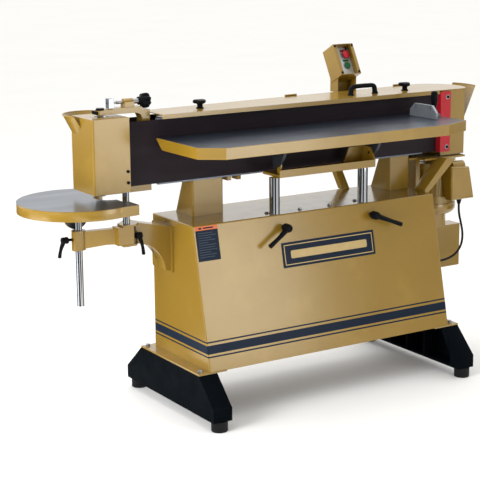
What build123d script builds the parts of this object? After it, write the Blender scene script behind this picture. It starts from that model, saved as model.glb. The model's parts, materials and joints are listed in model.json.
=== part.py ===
# Oscillating edge sander with a horizontal abrasive belt, standing on two cast feet.
# Frame: +X along the belt towards the drive end, +Y to the back, +Z up, millimetres.
# Origin: centre of the four foot anchor holes, on the floor.
import math
import os

from build123d import *

os.makedirs("parts", exist_ok=True)

# ---------------------------------------------------------------- driving dimensions
belt_length = 3518.0          # 138.5 inch loop
belt_width = 228.6            # 9 inch
belt_thickness = 1.5
belt_front_y = 25.0           # outer face of the sanding run
belt_mid_z = 960.0
drum_gap = 0.3                # radial play kept between belt and drums
idler_radius = 50.8
drive_radius = 88.0
idler_x = -806.0
stroke_half = 6.35            # half of the 1/2 inch oscillation

foot_x = 559.5                # centre of each foot beam
foot_width = 77.0
foot_half_length = 322.0
foot_bottom_z = 38.0
foot_top_z = 187.0
anchor_x = 560.0
anchor_y = 298.0
anchor_radius = 7.0

cabinet_half_x = 550.0
cabinet_bottom_z = 193.0
cabinet_top_z = 704.0
cabinet_front_bottom_y = -222.0
cabinet_front_top_y = -111.0
cabinet_rear_y = 179.0
sheet = 4.0

beam_left_x = -570.0
beam_right_x = 612.0
beam_front_y = 38.0
beam_rear_y = 104.0
beam_bottom_z = 838.0
beam_top_z = 1076.0
platen_half_x = 609.0
platen_front_y = 27.0
platen_bottom_z = 840.0
platen_top_z = 1080.0

cover_top_z = 1094.4
cover_skin = 3.0
cover_left_x = -601.0
cover_rear_left_y = 148.0
cover_rear_right_x = 690.0
cover_rear_right_y = 226.0
housing_bottom_z = 829.0
housing_skin = 2.5
housing_left_x = 669.0

guard_left_x = -875.0
guard_right_x = -732.0
guard_front_y = 1.0
guard_rear_y = 168.0
guard_bottom_z = 831.0
guard_top_z = 1095.0

table_top_z = 1011.0
table_thickness = 41.0
table_left_x = -615.0
table_right_x = 575.0
table_rear_y = 21.0
table_front_y = -322.0
tilt_y = -30.0
tilt_z = 970.0
trunnion_radius = 106.0
post_y = -86.0
post_radius = 20.0
post_left_x = -184.0
post_right_x = 221.0
support_z = 840.0

end_centre = (-890.0, 97.0)
end_radius = 219.0
end_top_z = 805.0
end_thickness = 36.0
column_x = -740.0
column_y = 27.0
column_radius = 12.5
lift_x = -895.0
lift_y = 97.0
lift_radius = 13.0
end_pivot_z = 742.0

motor_radius = 100.0
spindle_radius = 14.0
platform_z = 816.0
platform_thickness = 8.0

box_width = 97.0
box_length = 132.0
box_depth = 80.0
box_lean = 28.0               # degrees that the control box leans back
cable_diameter = 9.0

running = 0.05                # radial clearance of a running fit
air = 0.5                     # gap kept between pieces that move past each other

# ---------------------------------------------------------------- derived dimensions
belt_inner_y = belt_front_y + belt_thickness
idler_y = belt_inner_y + drum_gap + idler_radius
drive_y = belt_inner_y + drum_gap + drive_radius
mid_idler = idler_radius + drum_gap + belt_thickness / 2
mid_drive = drive_radius + drum_gap + belt_thickness / 2
wrap_extra = (mid_drive - mid_idler) ** 2 / 1540
drive_x = idler_x + (belt_length - math.pi * (mid_drive + mid_idler)) / 2 - wrap_extra
belt_bottom_z = belt_mid_z - belt_width / 2
belt_top_z = belt_mid_z + belt_width / 2
cabinet_slope = (cabinet_front_top_y - cabinet_front_bottom_y) / (cabinet_top_z - cabinet_bottom_z)
table_bottom_z = table_top_z - table_thickness
end_bottom_z = end_top_z - end_thickness
print("drive drum axis x", round(drive_x, 2))


def finish(piece, name):
    """Label a finished piece and write its STEP file."""
    piece.label = name
    export_step(piece, f"parts/{name}.step")


def front_y(z):
    """Y of the cabinet's sloping front face at height z."""
    return cabinet_front_bottom_y + (z - cabinet_bottom_z) * cabinet_slope


def rear_edge_y(x, offset=0.0):
    """Y of the slanted rear edge of the top cover at position x."""
    slope = (cover_rear_right_y - cover_rear_left_y) / (cover_rear_right_x - cover_left_x)
    return cover_rear_left_y + (x - cover_left_x) * slope + offset


def clamp_lever(hub, outward, arm_direction, length, stud=22, scale=1.0):
    """Adjustable clamping lever: stud, hub and a tapered arm that leans outwards."""
    base = Plane(origin=hub, x_dir=arm_direction, z_dir=outward)
    with BuildPart() as lever:
        with BuildSketch(base.offset(-stud)):
            Circle(5)
        extrude(amount=stud + 2)
        with BuildSketch(base):
            Circle(12 * scale)
        extrude(amount=26 * scale, taper=3)
        root_point = base.from_local_coords((2, 0, 14 * scale))
        tip_point = base.from_local_coords((length, 0, 26 * scale))
        with BuildSketch(Plane(origin=root_point, z_dir=base.x_dir)) as root:
            Circle(9 * scale)
        with BuildSketch(Plane(origin=tip_point, z_dir=base.x_dir)) as tip:
            Circle(7 * scale)
        loft(sections=[root.sketch, tip.sketch])
    return lever.part


# ---------------------------------------------------------------- base: feet and cabinet
with BuildPart() as feet:
    for side in (-1, 1):
        outer_x = side * (foot_x + foot_width / 2)
        with BuildSketch(Plane.YZ.offset(outer_x)):
            with BuildLine():
                Polyline(
                    (-foot_half_length, foot_bottom_z), (foot_half_length, foot_bottom_z),
                    (foot_half_length, 86), (205, foot_top_z), (-222, foot_top_z),
                    (-foot_half_length, 86), close=True)
            make_face()
        extrude(amount=-side * foot_width)
        with BuildSketch(Plane.YZ.offset(outer_x - side * foot_width)):
            with BuildLine():
                Polyline(
                    (-foot_half_length + 52, foot_bottom_z + 10),
                    (foot_half_length - 52, foot_bottom_z + 10),
                    (foot_half_length - 52, 92), (197, foot_top_z - 12), (-214, foot_top_z - 12),
                    (-foot_half_length + 52, 92), close=True)
            make_face()
            for rib_y in (-110, 0, 110):
                with Locations((rib_y, 110)):
                    Rectangle(10, 160, mode=Mode.SUBTRACT)
        extrude(amount=side * (foot_width - 12), mode=Mode.SUBTRACT)
    with Locations((0, 0, foot_bottom_z)):
        with GridLocations(2 * anchor_x, 2 * anchor_y, 2, 2):
            Cylinder(anchor_radius + 0.5, 120, mode=Mode.SUBTRACT)
finish(feet.part, "feet")

with BuildPart() as foot_pads:
    with GridLocations(2 * anchor_x, 2 * anchor_y, 2, 2):
        Cylinder(30, foot_bottom_z, align=(Align.CENTER, Align.CENTER, Align.MIN))
        Cylinder(anchor_radius, 100, mode=Mode.SUBTRACT)
    fillet(foot_pads.faces().group_by(Axis.Z)[0].edges().filter_by(
        lambda edge: edge.radius > 20), radius=3)
finish(foot_pads.part, "foot_pads")

with BuildPart() as cabinet_shell:
    with BuildSketch(Plane.YZ.offset(-cabinet_half_x)) as section:
        with BuildLine():
            Polyline(
                (front_y(cabinet_bottom_z - 3), cabinet_bottom_z - 3),
                (cabinet_rear_y, cabinet_bottom_z - 3),
                (cabinet_rear_y, cabinet_top_z), (cabinet_front_top_y, cabinet_top_z), close=True)
        make_face()
    extrude(amount=2 * cabinet_half_x)
    fillet(cabinet_shell.edges().filter_by(Axis.X).group_by(Axis.Z)[-1].sort_by(Axis.Y)[0], radius=5)
    fillet(cabinet_shell.faces().filter_by(Axis.X).edges().filter_by(
        lambda edge: edge.length > 400 and edge.center().Y < 0), radius=4)
    with BuildSketch(Plane.YZ.offset(-cabinet_half_x + sheet)):
        with BuildLine():
            Polyline(
                (front_y(cabinet_bottom_z - 4) + sheet, cabinet_bottom_z - 4),
                (cabinet_rear_y - sheet, cabinet_bottom_z - 4),
                (cabinet_rear_y - sheet, cabinet_top_z - sheet),
                (cabinet_front_top_y + sheet, cabinet_top_z - sheet),
                close=True)
        make_face()
    extrude(amount=2 * (cabinet_half_x - sheet), mode=Mode.SUBTRACT)
    # access opening in the back, and the two holes for the table posts
    with Locations((0, cabinet_rear_y, 450)):
        Box(860, 20, 380, mode=Mode.SUBTRACT)
    with Locations((post_left_x, post_y, cabinet_top_z), (post_right_x, post_y, cabinet_top_z)):
        Cylinder(post_radius + 0.6, 12, mode=Mode.SUBTRACT)
    # base flanges that sit on the feet
    for side in (-1, 1):
        with Locations((side * 539.5, -10, (foot_top_z + cabinet_bottom_z) / 2)):
            Box(117, 430, cabinet_bottom_z - foot_top_z)
    # slots for the clamp studs of the two posts
    for lever_x in (post_left_x + 12, post_right_x + 12):
        with Locations(Plane(origin=(lever_x, front_y(660), 660), z_dir=(0, 1, 0))):
            Cylinder(6, 40, mode=Mode.SUBTRACT)
finish(cabinet_shell.part, "cabinet_shell")

with BuildPart() as back_panel:
    with Locations((0, cabinet_rear_y + 1.25, 450)):
        Box(920, 2.5, 440)
    fillet(back_panel.edges().filter_by(Axis.Y), radius=12)
    # pressed louvres for air
    for row in range(6):
        with Locations((0, cabinet_rear_y + 2.5, 360 + 30 * row)):
            Box(300, 8, 8)
finish(back_panel.part, "back_panel")

with BuildPart() as post_guides:
    # bridge plate across the cabinet, with a sleeve for each post
    with Locations((0, -95, 480)):
        Box(2 * (cabinet_half_x - sheet), 100, 10)
    with Locations((post_left_x, post_y, 450), (post_right_x, post_y, 450)):
        Cylinder(25, 220, align=(Align.CENTER, Align.CENTER, Align.MIN))
    with Locations((post_left_x, post_y, 440), (post_right_x, post_y, 440)):
        Cylinder(post_radius + running, 300,
                 align=(Align.CENTER, Align.CENTER, Align.MIN), mode=Mode.SUBTRACT)
    for x in (post_left_x, post_right_x):
        with Locations(Plane(origin=(x + 12, post_y, 660), z_dir=(0, -1, 0))):
            Cylinder(5.5, 40, align=(Align.CENTER, Align.CENTER, Align.MIN), mode=Mode.SUBTRACT)
finish(post_guides.part, "post_guides")

with BuildPart() as hex_bolts:
    for side in (-1, 1):
        for y in (-196, 188):
            with BuildSketch(Plane.XY.offset(cabinet_bottom_z)):
                with Locations((side * 578, y)):
                    RegularPolygon(9, 6)
            extrude(amount=7)
    for x, y in ((-203, -62), (-61, -72), (77, -69), (209, -52)):
        with BuildSketch(Plane.XY.offset(cabinet_top_z)):
            with Locations((x, y)):
                RegularPolygon(7, 6)
        extrude(amount=5)
finish(hex_bolts.part, "hex_bolts")

with BuildPart() as cap_screws:
    for x, z in ((-742, 905), (-742, 865)):
        with Locations(Plane(origin=(x, guard_front_y, z), z_dir=(0, -1, 0))):
            Cylinder(5.5, 4, align=(Align.CENTER, Align.CENTER, Align.MIN))
    for x, z in ((703, 1066), (703, 864)):
        with Locations(Plane(origin=(x, -8, z), z_dir=(0, -1, 0))):
            Cylinder(6, 3, align=(Align.CENTER, Align.CENTER, Align.MIN))
    for x in (-445, -150, 150, 445):
        for z in (242, 658):
            with Locations(Plane(origin=(x, cabinet_rear_y + 2.5, z), z_dir=(0, 1, 0))):
                Cylinder(6, 4, align=(Align.CENTER, Align.CENTER, Align.MIN))
finish(cap_screws.part, "cap_screws")

# ---------------------------------------------------------------- upper structure
pedestal_spans = ((-460.0, 132.0), (452.0, 96.0))
with BuildPart() as pedestals:
    for left_x, width in pedestal_spans:
        with BuildSketch(Plane.YZ.offset(left_x)):
            with BuildLine():
                Polyline(
                    (39, cabinet_top_z), (162, cabinet_top_z), (107, beam_bottom_z), (39, beam_bottom_z),
                    close=True)
            make_face()
        extrude(amount=width)
    fillet(pedestals.edges().filter_by(Axis.Z), radius=6)
finish(pedestals.part, "pedestals")

beam_mid_x = (beam_left_x + beam_right_x) / 2
beam_mid_y = (beam_front_y + beam_rear_y) / 2
with BuildPart() as main_beam:
    with Locations((beam_mid_x, beam_mid_y, belt_mid_z - 3)):
        Box(beam_right_x - beam_left_x, beam_rear_y - beam_front_y, beam_top_z - beam_bottom_z)
    with Locations((beam_mid_x, beam_mid_y + 10, belt_mid_z - 3)):
        Box(beam_right_x - beam_left_x + 100, beam_rear_y - beam_front_y - 4, 206, mode=Mode.SUBTRACT)
    for x in (-420, -210, 0, 210, 420):
        with Locations((x, beam_mid_y, belt_mid_z - 3)):
            Box(10, beam_rear_y - beam_front_y, 206)
    # two cast lugs under the front edge
    for x in (-300, -258):
        with Locations((x, 60, beam_bottom_z - 8)):
            Box(16, 40, 16)
finish(main_beam.part, "main_beam")

with BuildPart() as platen:
    with Locations((0, (platen_front_y + beam_front_y) / 2, (platen_bottom_z + platen_top_z) / 2)):
        Box(2 * platen_half_x, beam_front_y - platen_front_y, platen_top_z - platen_bottom_z)
    fillet(platen.edges().filter_by(Axis.Z).group_by(Axis.Y)[0], radius=6)
finish(platen.part, "platen")

# hinge line of the top cover, along its slanted rear edge
hinge_direction = (cover_rear_right_x - cover_left_x, cover_rear_right_y - cover_rear_left_y, 0)
hinge_z = 1098.0
hinge_offset = 3.0
with BuildPart() as rear_guard:
    with BuildSketch(Plane.XY.offset(839)):
        with BuildLine():
            Polyline(
                (cover_left_x, rear_edge_y(cover_left_x, -3)),
                (cover_rear_right_x - 22, rear_edge_y(cover_rear_right_x - 22, -3)),
                (cover_rear_right_x - 22, rear_edge_y(cover_rear_right_x - 22, -0.5)),
                (cover_left_x, rear_edge_y(cover_left_x, -0.5)), close=True)
        make_face()
    extrude(amount=238)
    # stays that tie the guard back to the beam, above and below the return run of the belt
    for x in (-500, 0, 500):
        stay_depth = rear_edge_y(x, -2) - beam_rear_y
        with Locations((x, beam_rear_y + stay_depth / 2, 1083.5)):
            Box(30, stay_depth, 4)
        with Locations((x, beam_rear_y - 6, 1079.5)):
            Box(30, 12, 7)
    # fixed halves of the two cover hinges, with their knuckles
    for x in (50, 608):
        knuckle = Plane(
            origin=(x, rear_edge_y(x, hinge_offset), hinge_z), x_dir=(0, 0, 1), z_dir=hinge_direction)
        with BuildSketch(knuckle):
            Circle(3.4)
            with Locations((-14, 0)):
                Rectangle(24, 2.4)
            with Locations((-22.5, 2.4)):
                Rectangle(7, 5)
        extrude(amount=56)
finish(rear_guard.part, "rear_guard")

# ---------------------------------------------------------------- idler end guard and drive housing
guard_mid_x = (guard_left_x + guard_right_x) / 2
with BuildPart() as idler_guard:
    with Locations((guard_mid_x, (guard_front_y + guard_rear_y) / 2, (guard_bottom_z + guard_top_z) / 2)):
        Box(guard_right_x - guard_left_x, guard_rear_y - guard_front_y, guard_top_z - guard_bottom_z)
    fillet(idler_guard.edges().filter_by(Axis.Z).group_by(Axis.Y)[0].sort_by(Axis.X)[0], radius=6)
    with Locations((guard_mid_x + 30, (guard_front_y + guard_rear_y) / 2 + 30, guard_bottom_z - 30)):
        Box(guard_right_x - guard_left_x - 5 + 60, guard_rear_y - guard_front_y - 5 + 60,
            guard_top_z - guard_bottom_z - housing_skin + 30,
            align=(Align.CENTER, Align.CENTER, Align.MIN), mode=Mode.SUBTRACT)
    # slot in the top for the idler shaft, which moves with the belt tension
    with Locations((idler_x + 4, idler_y, guard_top_z)):
        Box(44, 34, 20, mode=Mode.SUBTRACT)
    # lower lug that holds the head of the end column
    with Locations((column_x - 6, 26, guard_bottom_z + 2.5)):
        Box(44, 50, 5)
finish(idler_guard.part, "idler_guard")


def scoop(centre, low_z, high_z, low_radius, high_radius, keep):
    """Flared dust deflector: part of a thin cone that opens upwards."""
    height = high_z - low_z
    with BuildPart() as flare:
        with Locations((centre[0], centre[1], low_z + height / 2)):
            Cone(low_radius, high_radius, height)
            Cone(low_radius - 2.6, high_radius - 2.6, height, mode=Mode.SUBTRACT)
        with Locations(keep[0]):
            Box(*keep[1], mode=Mode.INTERSECT)
    return flare.part


def drive_outline(inset):
    """Plan of the drive end: flat front, round end about the drum, slanted rear edge."""
    with BuildSketch(mode=Mode.PRIVATE) as plan:
        with BuildLine():
            front = Line((housing_left_x, guard_front_y + inset), (800 - inset, guard_front_y + inset))
            round_end = ThreePointArc(
                front @ 1, (834.5 - inset, 118), (726, rear_edge_y(726, -2 - inset)))
            back = Line(round_end @ 1, (housing_left_x, rear_edge_y(housing_left_x, -inset)))
            Line(back @ 1, front @ 0)
        make_face()
    return plan.sketch


# circle through the three points of the round end
round_plan = ThreePointArc((800, guard_front_y), (834.5, 118), (726, rear_edge_y(726, -2)))
round_centre = (round_plan.arc_center.X, round_plan.arc_center.Y)
round_radius = round_plan.radius
with BuildPart() as drive_housing:
    with BuildSketch(Plane.XY.offset(housing_bottom_z)):
        add(drive_outline(0))
    extrude(amount=1091 - housing_bottom_z)
    with BuildSketch(Plane.XY.offset(housing_bottom_z - 1)):
        add(drive_outline(housing_skin))
        with Locations((housing_left_x, 110)):
            Rectangle(20, 400)
    extrude(amount=300, mode=Mode.SUBTRACT)
finish(drive_housing.part, "drive_housing")

with BuildPart() as dust_scoops:
    left_keep = ((-845, 194, 1070), (160, 200, 90))
    add(scoop((-822, 140), 1038, 1101, 60, 92, left_keep))
    right_keep = ((880, 103, 1027), (240, 132, 160))
    add(scoop(round_centre, 955, 1097, round_radius - 1, round_radius + 60, right_keep))
    # only what stands outside the guard and the drive housing remains
    with Locations((guard_mid_x, (guard_front_y + guard_rear_y) / 2, 1040)):
        Box(guard_right_x - guard_left_x + 0.4, guard_rear_y - guard_front_y + 0.4, 300, mode=Mode.SUBTRACT)
    with BuildSketch(Plane.XY.offset(housing_bottom_z)):
        add(drive_outline(-0.2))
    extrude(amount=1091 - housing_bottom_z, mode=Mode.SUBTRACT)
    with BuildSketch(Plane.XY.offset(1090)):
        add(drive_outline(-5))
    extrude(amount=30, mode=Mode.SUBTRACT)
finish(dust_scoops.part, "dust_scoops")

with BuildPart() as work_stop:
    with Locations((694.5, -3.5, 966.5)):
        Box(51, 9, 243)
    with Locations((672, 9, 966.5)):
        Box(6, 24, 243)
    fillet(work_stop.edges().filter_by(Axis.Z).group_by(Axis.Y)[0], radius=2)
finish(work_stop.part, "work_stop")

with BuildPart() as drive_platform:
    with Locations((695, 111, platform_z + platform_thickness / 2)):
        Box(210, 242, platform_thickness)
    with Locations((610, 72, platform_z + platform_thickness / 2)):
        Box(123, 66, platform_thickness)
    # bearing boss of the spindle, above and below the plate
    with Locations((drive_x, drive_y, 792)):
        Cylinder(34, 40, align=(Align.CENTER, Align.CENTER, Align.MIN))
    with Locations((drive_x, drive_y, 700)):
        Cylinder(spindle_radius + running, 200,
                 align=(Align.CENTER, Align.CENTER, Align.MIN), mode=Mode.SUBTRACT)
finish(drive_platform.part, "drive_platform")

brace_top_z = platform_z + platform_thickness + 2
with BuildPart() as diagonal_brace:
    with BuildSketch(Plane.XZ.offset(62)):
        with BuildLine():
            Polyline(
                (cabinet_half_x, 690), (cabinet_half_x, 712), (658, brace_top_z), (708, brace_top_z),
                (cabinet_half_x + 10, 690), close=True)
        make_face()
    extrude(amount=-66)
    with BuildSketch(Plane.XZ.offset(58)):
        with BuildLine():
            Polyline(
                (cabinet_half_x + 8, 690), (cabinet_half_x + 8, 712), (672, brace_top_z + 1),
                (728, brace_top_z + 1), (cabinet_half_x + 60, 690), close=True)
        make_face()
    extrude(amount=-58, mode=Mode.SUBTRACT)
    # notch for the front edge of the platform
    with Locations((695, 96, platform_z + 20)):
        Box(260, 212.6, 40, mode=Mode.SUBTRACT)
finish(diagonal_brace.part, "diagonal_brace")

# ---------------------------------------------------------------- motor and oscillation drive
with BuildPart() as motor_bracket:
    with Locations((612, 115, 716)):
        Box(20, 110, 200)
    with Locations((626, 115, 700)):
        Box(26, 60, 60)
    with Locations((drive_x, drive_y, 600)):
        Cylinder(motor_radius, 300, mode=Mode.SUBTRACT)
finish(motor_bracket.part, "motor_bracket")

with BuildPart() as motor_body:
    with Locations((drive_x, drive_y, 622)):
        Cylinder(motor_radius - 5, 168, align=(Align.CENTER, Align.CENTER, Align.MIN))
    with Locations((drive_x, drive_y, 634)):
        Cylinder(motor_radius, 22, align=(Align.CENTER, Align.CENTER, Align.MIN))
    with Locations((drive_x, drive_y, 764)):
        Cylinder(motor_radius, 26, align=(Align.CENTER, Align.CENTER, Align.MIN))
    with Locations((drive_x, drive_y, 710)):
        with PolarLocations(motor_radius - 4.5, 36):
            Box(8, 3, 108)
    with Locations((drive_x, drive_y, 790)):
        Cylinder(60, 2, align=(Align.CENTER, Align.CENTER, Align.MIN))
    with Locations((drive_x, drive_y, 600)):
        Cylinder(spindle_radius + 3, 220, align=(Align.CENTER, Align.CENTER, Align.MIN), mode=Mode.SUBTRACT)
finish(motor_body.part, "motor_body")

gearbox_bottom_z = 337.0
gearbox_top_z = 515.0
with BuildPart() as motor_bell:
    with BuildSketch(Plane.XZ.offset(-drive_y)):
        with BuildLine():
            bell_side = Line((drive_x + 100, 622), (drive_x + 100, 602))
            bell_turn = RadiusArc(bell_side @ 1, (drive_x + 70, 574), 32)
            Polyline(
                bell_turn @ 1, (drive_x + 61, 574), (drive_x + 61, gearbox_top_z),
                (drive_x + spindle_radius + 3, gearbox_top_z), (drive_x + spindle_radius + 3, 622),
                bell_side @ 0)
        make_face()
    revolve(axis=Axis((drive_x, drive_y, 0), (0, 0, 1)))
finish(motor_bell.part, "motor_bell")

with BuildPart() as gearbox_housing:
    with Locations((drive_x, drive_y, (gearbox_bottom_z + gearbox_top_z) / 2)):
        Box(262, 72, gearbox_top_z - gearbox_bottom_z)
    fillet(gearbox_housing.edges().filter_by(Axis.Z), radius=5)
    with Locations((drive_x, drive_y, (gearbox_bottom_z + gearbox_top_z) / 2)):
        Box(254, 64, gearbox_top_z - gearbox_bottom_z - 8, mode=Mode.SUBTRACT)
    with Locations((drive_x, drive_y, gearbox_top_z)):
        Cylinder(spindle_radius + 3, 30, mode=Mode.SUBTRACT)
finish(gearbox_housing.part, "gearbox_housing")

with BuildPart() as oscillation_yoke:
    with Locations((drive_x, drive_y, 410)):
        Cylinder(27, 50, align=(Align.CENTER, Align.CENTER, Align.MIN))
    with Locations((drive_x - 55, drive_y, 435)):
        Box(110, 26, 20)
    with Locations(Plane(origin=(drive_x - 96, drive_y - 13, 435), z_dir=(0, -1, 0))):
        Cylinder(8, 14, align=(Align.CENTER, Align.CENTER, Align.MIN))
    with Locations((drive_x, drive_y, 417)):
        Cylinder(spindle_radius + running, 60,
                 align=(Align.CENTER, Align.CENTER, Align.MIN), mode=Mode.SUBTRACT)
finish(oscillation_yoke.part, "oscillation_yoke")

# junction box on the front of the motor, its cover wider at the bottom and deeper at the top
with BuildPart() as junction_box:
    with BuildSketch(Plane.YZ.offset(700)):
        with BuildLine():
            Polyline((-43, 646), (-43, 786), (22, 786), (18, 735), (-2, 646), close=True)
        make_face()
    extrude(amount=130)
    with BuildSketch(Plane.XZ.offset(43)):
        with BuildLine():
            Polyline((704, 786), (800, 778), (828, 646), (708, 646), close=True)
        make_face()
    extrude(amount=-70, mode=Mode.INTERSECT)
    fillet(junction_box.faces().sort_by(Axis.Y)[0].edges(), radius=10)
    # capacitor cover across the top, and the neck to the motor
    with Locations(Plane(origin=(722, -12, 783), z_dir=(1, 0, 0))):
        Cylinder(20, 62, align=(Align.CENTER, Align.CENTER, Align.MIN))
    with Locations((760, 36, 706)):
        Box(40, 60, 60)
    with Locations((drive_x, drive_y, 712)):
        Cylinder(motor_radius, 300, mode=Mode.SUBTRACT)
finish(junction_box.part, "junction_box")

# ---------------------------------------------------------------- motor cable
gland_top = (770.0, -14.0, 646.0)
gland_wall = (cabinet_half_x, 0.0, 400.0)
cable_points = [
    (770.0, -14.0, 626.0), (770.0, -14.0, 588.0), (783.0, -15.0, 544.0), (796.0, -14.0, 495.0),
    (791.0, -14.0, 450.0), (765.0, -13.0, 415.0), (722.0, -11.0, 397.0), (670.0, -7.0, 392.0),
    (618.0, 0.0, 400.0), (572.0, 0.0, 400.0),
]


def bend_radii(points):
    """Arc at each corner: 0.45 of the shorter run, divided by the tangent of half the turn."""
    radii = []
    for before, here, after in zip(points, points[1:], points[2:]):
        run_in = Vector(*here) - Vector(*before)
        run_out = Vector(*after) - Vector(*here)
        half_turn = math.radians(run_in.get_angle(run_out)) / 2
        radii.append(0.45 * min(run_in.length, run_out.length) / math.tan(half_turn))
    return radii


cable_radii = bend_radii(cable_points)
print("cable radii", [round(radius, 1) for radius in cable_radii])
with BuildPart() as motor_cable:
    with BuildLine() as cable_path:
        FilletPolyline(*cable_points, radius=cable_radii)
    with BuildSketch(Plane(origin=cable_path.line @ 0, z_dir=cable_path.line % 0)):
        Circle(cable_diameter / 2)
    sweep()
cable_length = cable_path.wires()[0].length
cable_section = math.pi * cable_diameter ** 2 / 4
print("cable length", round(cable_length, 1), "volume ratio",
      round(motor_cable.part.volume / (cable_section * cable_length), 4))
finish(motor_cable.part, "motor_cable")

with BuildPart() as cable_glands:
    with Locations((gland_top[0], gland_top[1], 634)):
        Cylinder(10, 12, align=(Align.CENTER, Align.CENTER, Align.MIN))
    with Locations((gland_top[0], gland_top[1], 626)):
        Cone(6, 8.5, 8, align=(Align.CENTER, Align.CENTER, Align.MIN))
    wall_plane = Plane(origin=gland_wall, z_dir=(1, 0, 0))
    with Locations(wall_plane):
        Cylinder(10, 12, align=(Align.CENTER, Align.CENTER, Align.MIN))
    with Locations(wall_plane.offset(12)):
        Cone(8.5, 6, 10, align=(Align.CENTER, Align.CENTER, Align.MIN))
finish(cable_glands.part, "cable_glands")

# ---------------------------------------------------------------- abrasive belt and drums


def belt_loop(inset):
    """Closed belt outline: two straight runs tangent to the idler and the drive drum."""
    idler_r = idler_radius + drum_gap + belt_thickness - inset
    drive_r = drive_radius + drum_gap + belt_thickness - inset
    span = math.hypot(drive_x - idler_x, drive_y - idler_y)
    lean = math.atan2(drive_y - idler_y, drive_x - idler_x) + math.asin((drive_r - idler_r) / span)
    normal = (-math.sin(lean), math.cos(lean))
    with BuildSketch(mode=Mode.PRIVATE) as loop:
        with BuildLine():
            front_left = (idler_x, idler_y - idler_r)
            front_right = (drive_x, drive_y - drive_r)
            back_right = (drive_x + drive_r * normal[0], drive_y + drive_r * normal[1])
            back_left = (idler_x + idler_r * normal[0], idler_y + idler_r * normal[1])
            Line(front_left, front_right)
            ThreePointArc(front_right, (drive_x + drive_r, drive_y), back_right)
            Line(back_right, back_left)
            ThreePointArc(back_left, (idler_x - idler_r, idler_y), front_left)
        make_face()
    return loop.sketch


with BuildPart() as sanding_belt:
    with BuildSketch(Plane.XY.offset(belt_bottom_z)):
        add(belt_loop(0))
        add(belt_loop(belt_thickness), mode=Mode.SUBTRACT)
    extrude(amount=belt_width)
finish(sanding_belt.part, "sanding_belt")

with BuildPart() as drive_drum:
    with Locations((drive_x, drive_y, belt_mid_z)):
        Cylinder(drive_radius, 214)
        Cylinder(drive_radius - 9, 180, mode=Mode.SUBTRACT)
        Cylinder(32, 214)
        Cylinder(spindle_radius, 300, mode=Mode.SUBTRACT)
finish(drive_drum.part, "drive_drum")

with BuildPart() as drive_spindle:
    with Locations((drive_x, drive_y, 418)):
        Cylinder(spindle_radius, 658, align=(Align.CENTER, Align.CENTER, Align.MIN))
    with Locations((drive_x, drive_y, 1067)):
        Cylinder(24, 8, align=(Align.CENTER, Align.CENTER, Align.MIN))
finish(drive_spindle.part, "drive_spindle")

slide_y = 82.0
with BuildPart() as oscillating_slide:
    with Locations((-593, slide_y - 3, belt_mid_z - 3)):
        Box(24, 40, 190)
    with Locations((-582.5, slide_y - 3, belt_mid_z - 3)):
        Box(23, 16, 190)
    for z in (905, 1009):
        with Locations(Plane(origin=(-605, slide_y, z), z_dir=(-1, 0, 0))):
            Cylinder(9, 84, align=(Align.CENTER, Align.CENTER, Align.MIN))
finish(oscillating_slide.part, "oscillating_slide")

shaft_radius = 12.0
with BuildPart() as idler_bracket:
    with BuildSketch(Plane.XZ.offset(-(idler_y + 22))):
        with BuildLine():
            Polyline(
                (-824, 1117), (-730, 1122), (-652, 1122), (-650, 1110), (-620, 1110), (-620, 818),
                (-824, 818), (-824, 840), (-672, 840), (-650, 862), (-650, 1079), (-657, 1094),
                (-672, 1101), (-824, 1103), close=True)
        make_face()
    extrude(amount=44)
    fillet(idler_bracket.edges().filter_by(Axis.Z).sort_by(Axis.X)[:4], radius=5)
    for z in (905, 1009):
        with Locations(Plane(origin=(-720, slide_y, z), z_dir=(1, 0, 0))):
            Cylinder(9 + running, 200, align=(Align.CENTER, Align.CENTER, Align.MIN), mode=Mode.SUBTRACT)
    with Locations((idler_x, idler_y, 960)):
        Cylinder(shaft_radius, 400, mode=Mode.SUBTRACT)
    # lug for the tracking screw
    with BuildSketch(Plane.YZ.offset(-716)):
        with Locations((idler_y, 1129)):
            Rectangle(34, 22)
        with Locations((idler_y, 1140)):
            Circle(12)
        with Locations((idler_y, 1140)):
            Circle(6.05, mode=Mode.SUBTRACT)
    extrude(amount=38)
finish(idler_bracket.part, "idler_bracket")

with BuildPart() as idler_shaft:
    with Locations((idler_x, idler_y, 813)):
        Cylinder(shaft_radius, 311, align=(Align.CENTER, Align.CENTER, Align.MIN))
finish(idler_shaft.part, "idler_shaft")

with BuildPart() as tracking_post:
    with Locations((-767, idler_y, 1122)):
        Box(23, 23, 34, align=(Align.CENTER, Align.CENTER, Align.MIN))
    fillet(tracking_post.edges().filter_by(Axis.Z), radius=2)
    with Locations(Plane(origin=(-785, idler_y, 1140), z_dir=(1, 0, 0))):
        Cylinder(4.05, 40, align=(Align.CENTER, Align.CENTER, Align.MIN), mode=Mode.SUBTRACT)
finish(tracking_post.part, "tracking_post")

with BuildPart() as idler_drum:
    with Locations((idler_x, idler_y, belt_mid_z)):
        Cylinder(idler_radius, 214)
        Cylinder(idler_radius - 7, 180, mode=Mode.SUBTRACT)
        Cylinder(19, 214)
        Cylinder(shaft_radius + running, 300, mode=Mode.SUBTRACT)
finish(idler_drum.part, "idler_drum")

with BuildPart() as tracking_screw:
    with Locations(Plane(origin=(-776, idler_y, 1140), z_dir=(1, 0, 0))):
        Cylinder(4, 34, align=(Align.CENTER, Align.CENTER, Align.MIN))
    with Locations(Plane(origin=(-742, idler_y, 1140), z_dir=(1, 0, 0))):
        Cylinder(6, 118, align=(Align.CENTER, Align.CENTER, Align.MIN))
    with Locations(Plane(origin=(-677.5, idler_y, 1140), z_dir=(1, 0, 0))):
        Cylinder(9.5, 21, align=(Align.CENTER, Align.CENTER, Align.MIN))
finish(tracking_screw.part, "tracking_screw")

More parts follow.
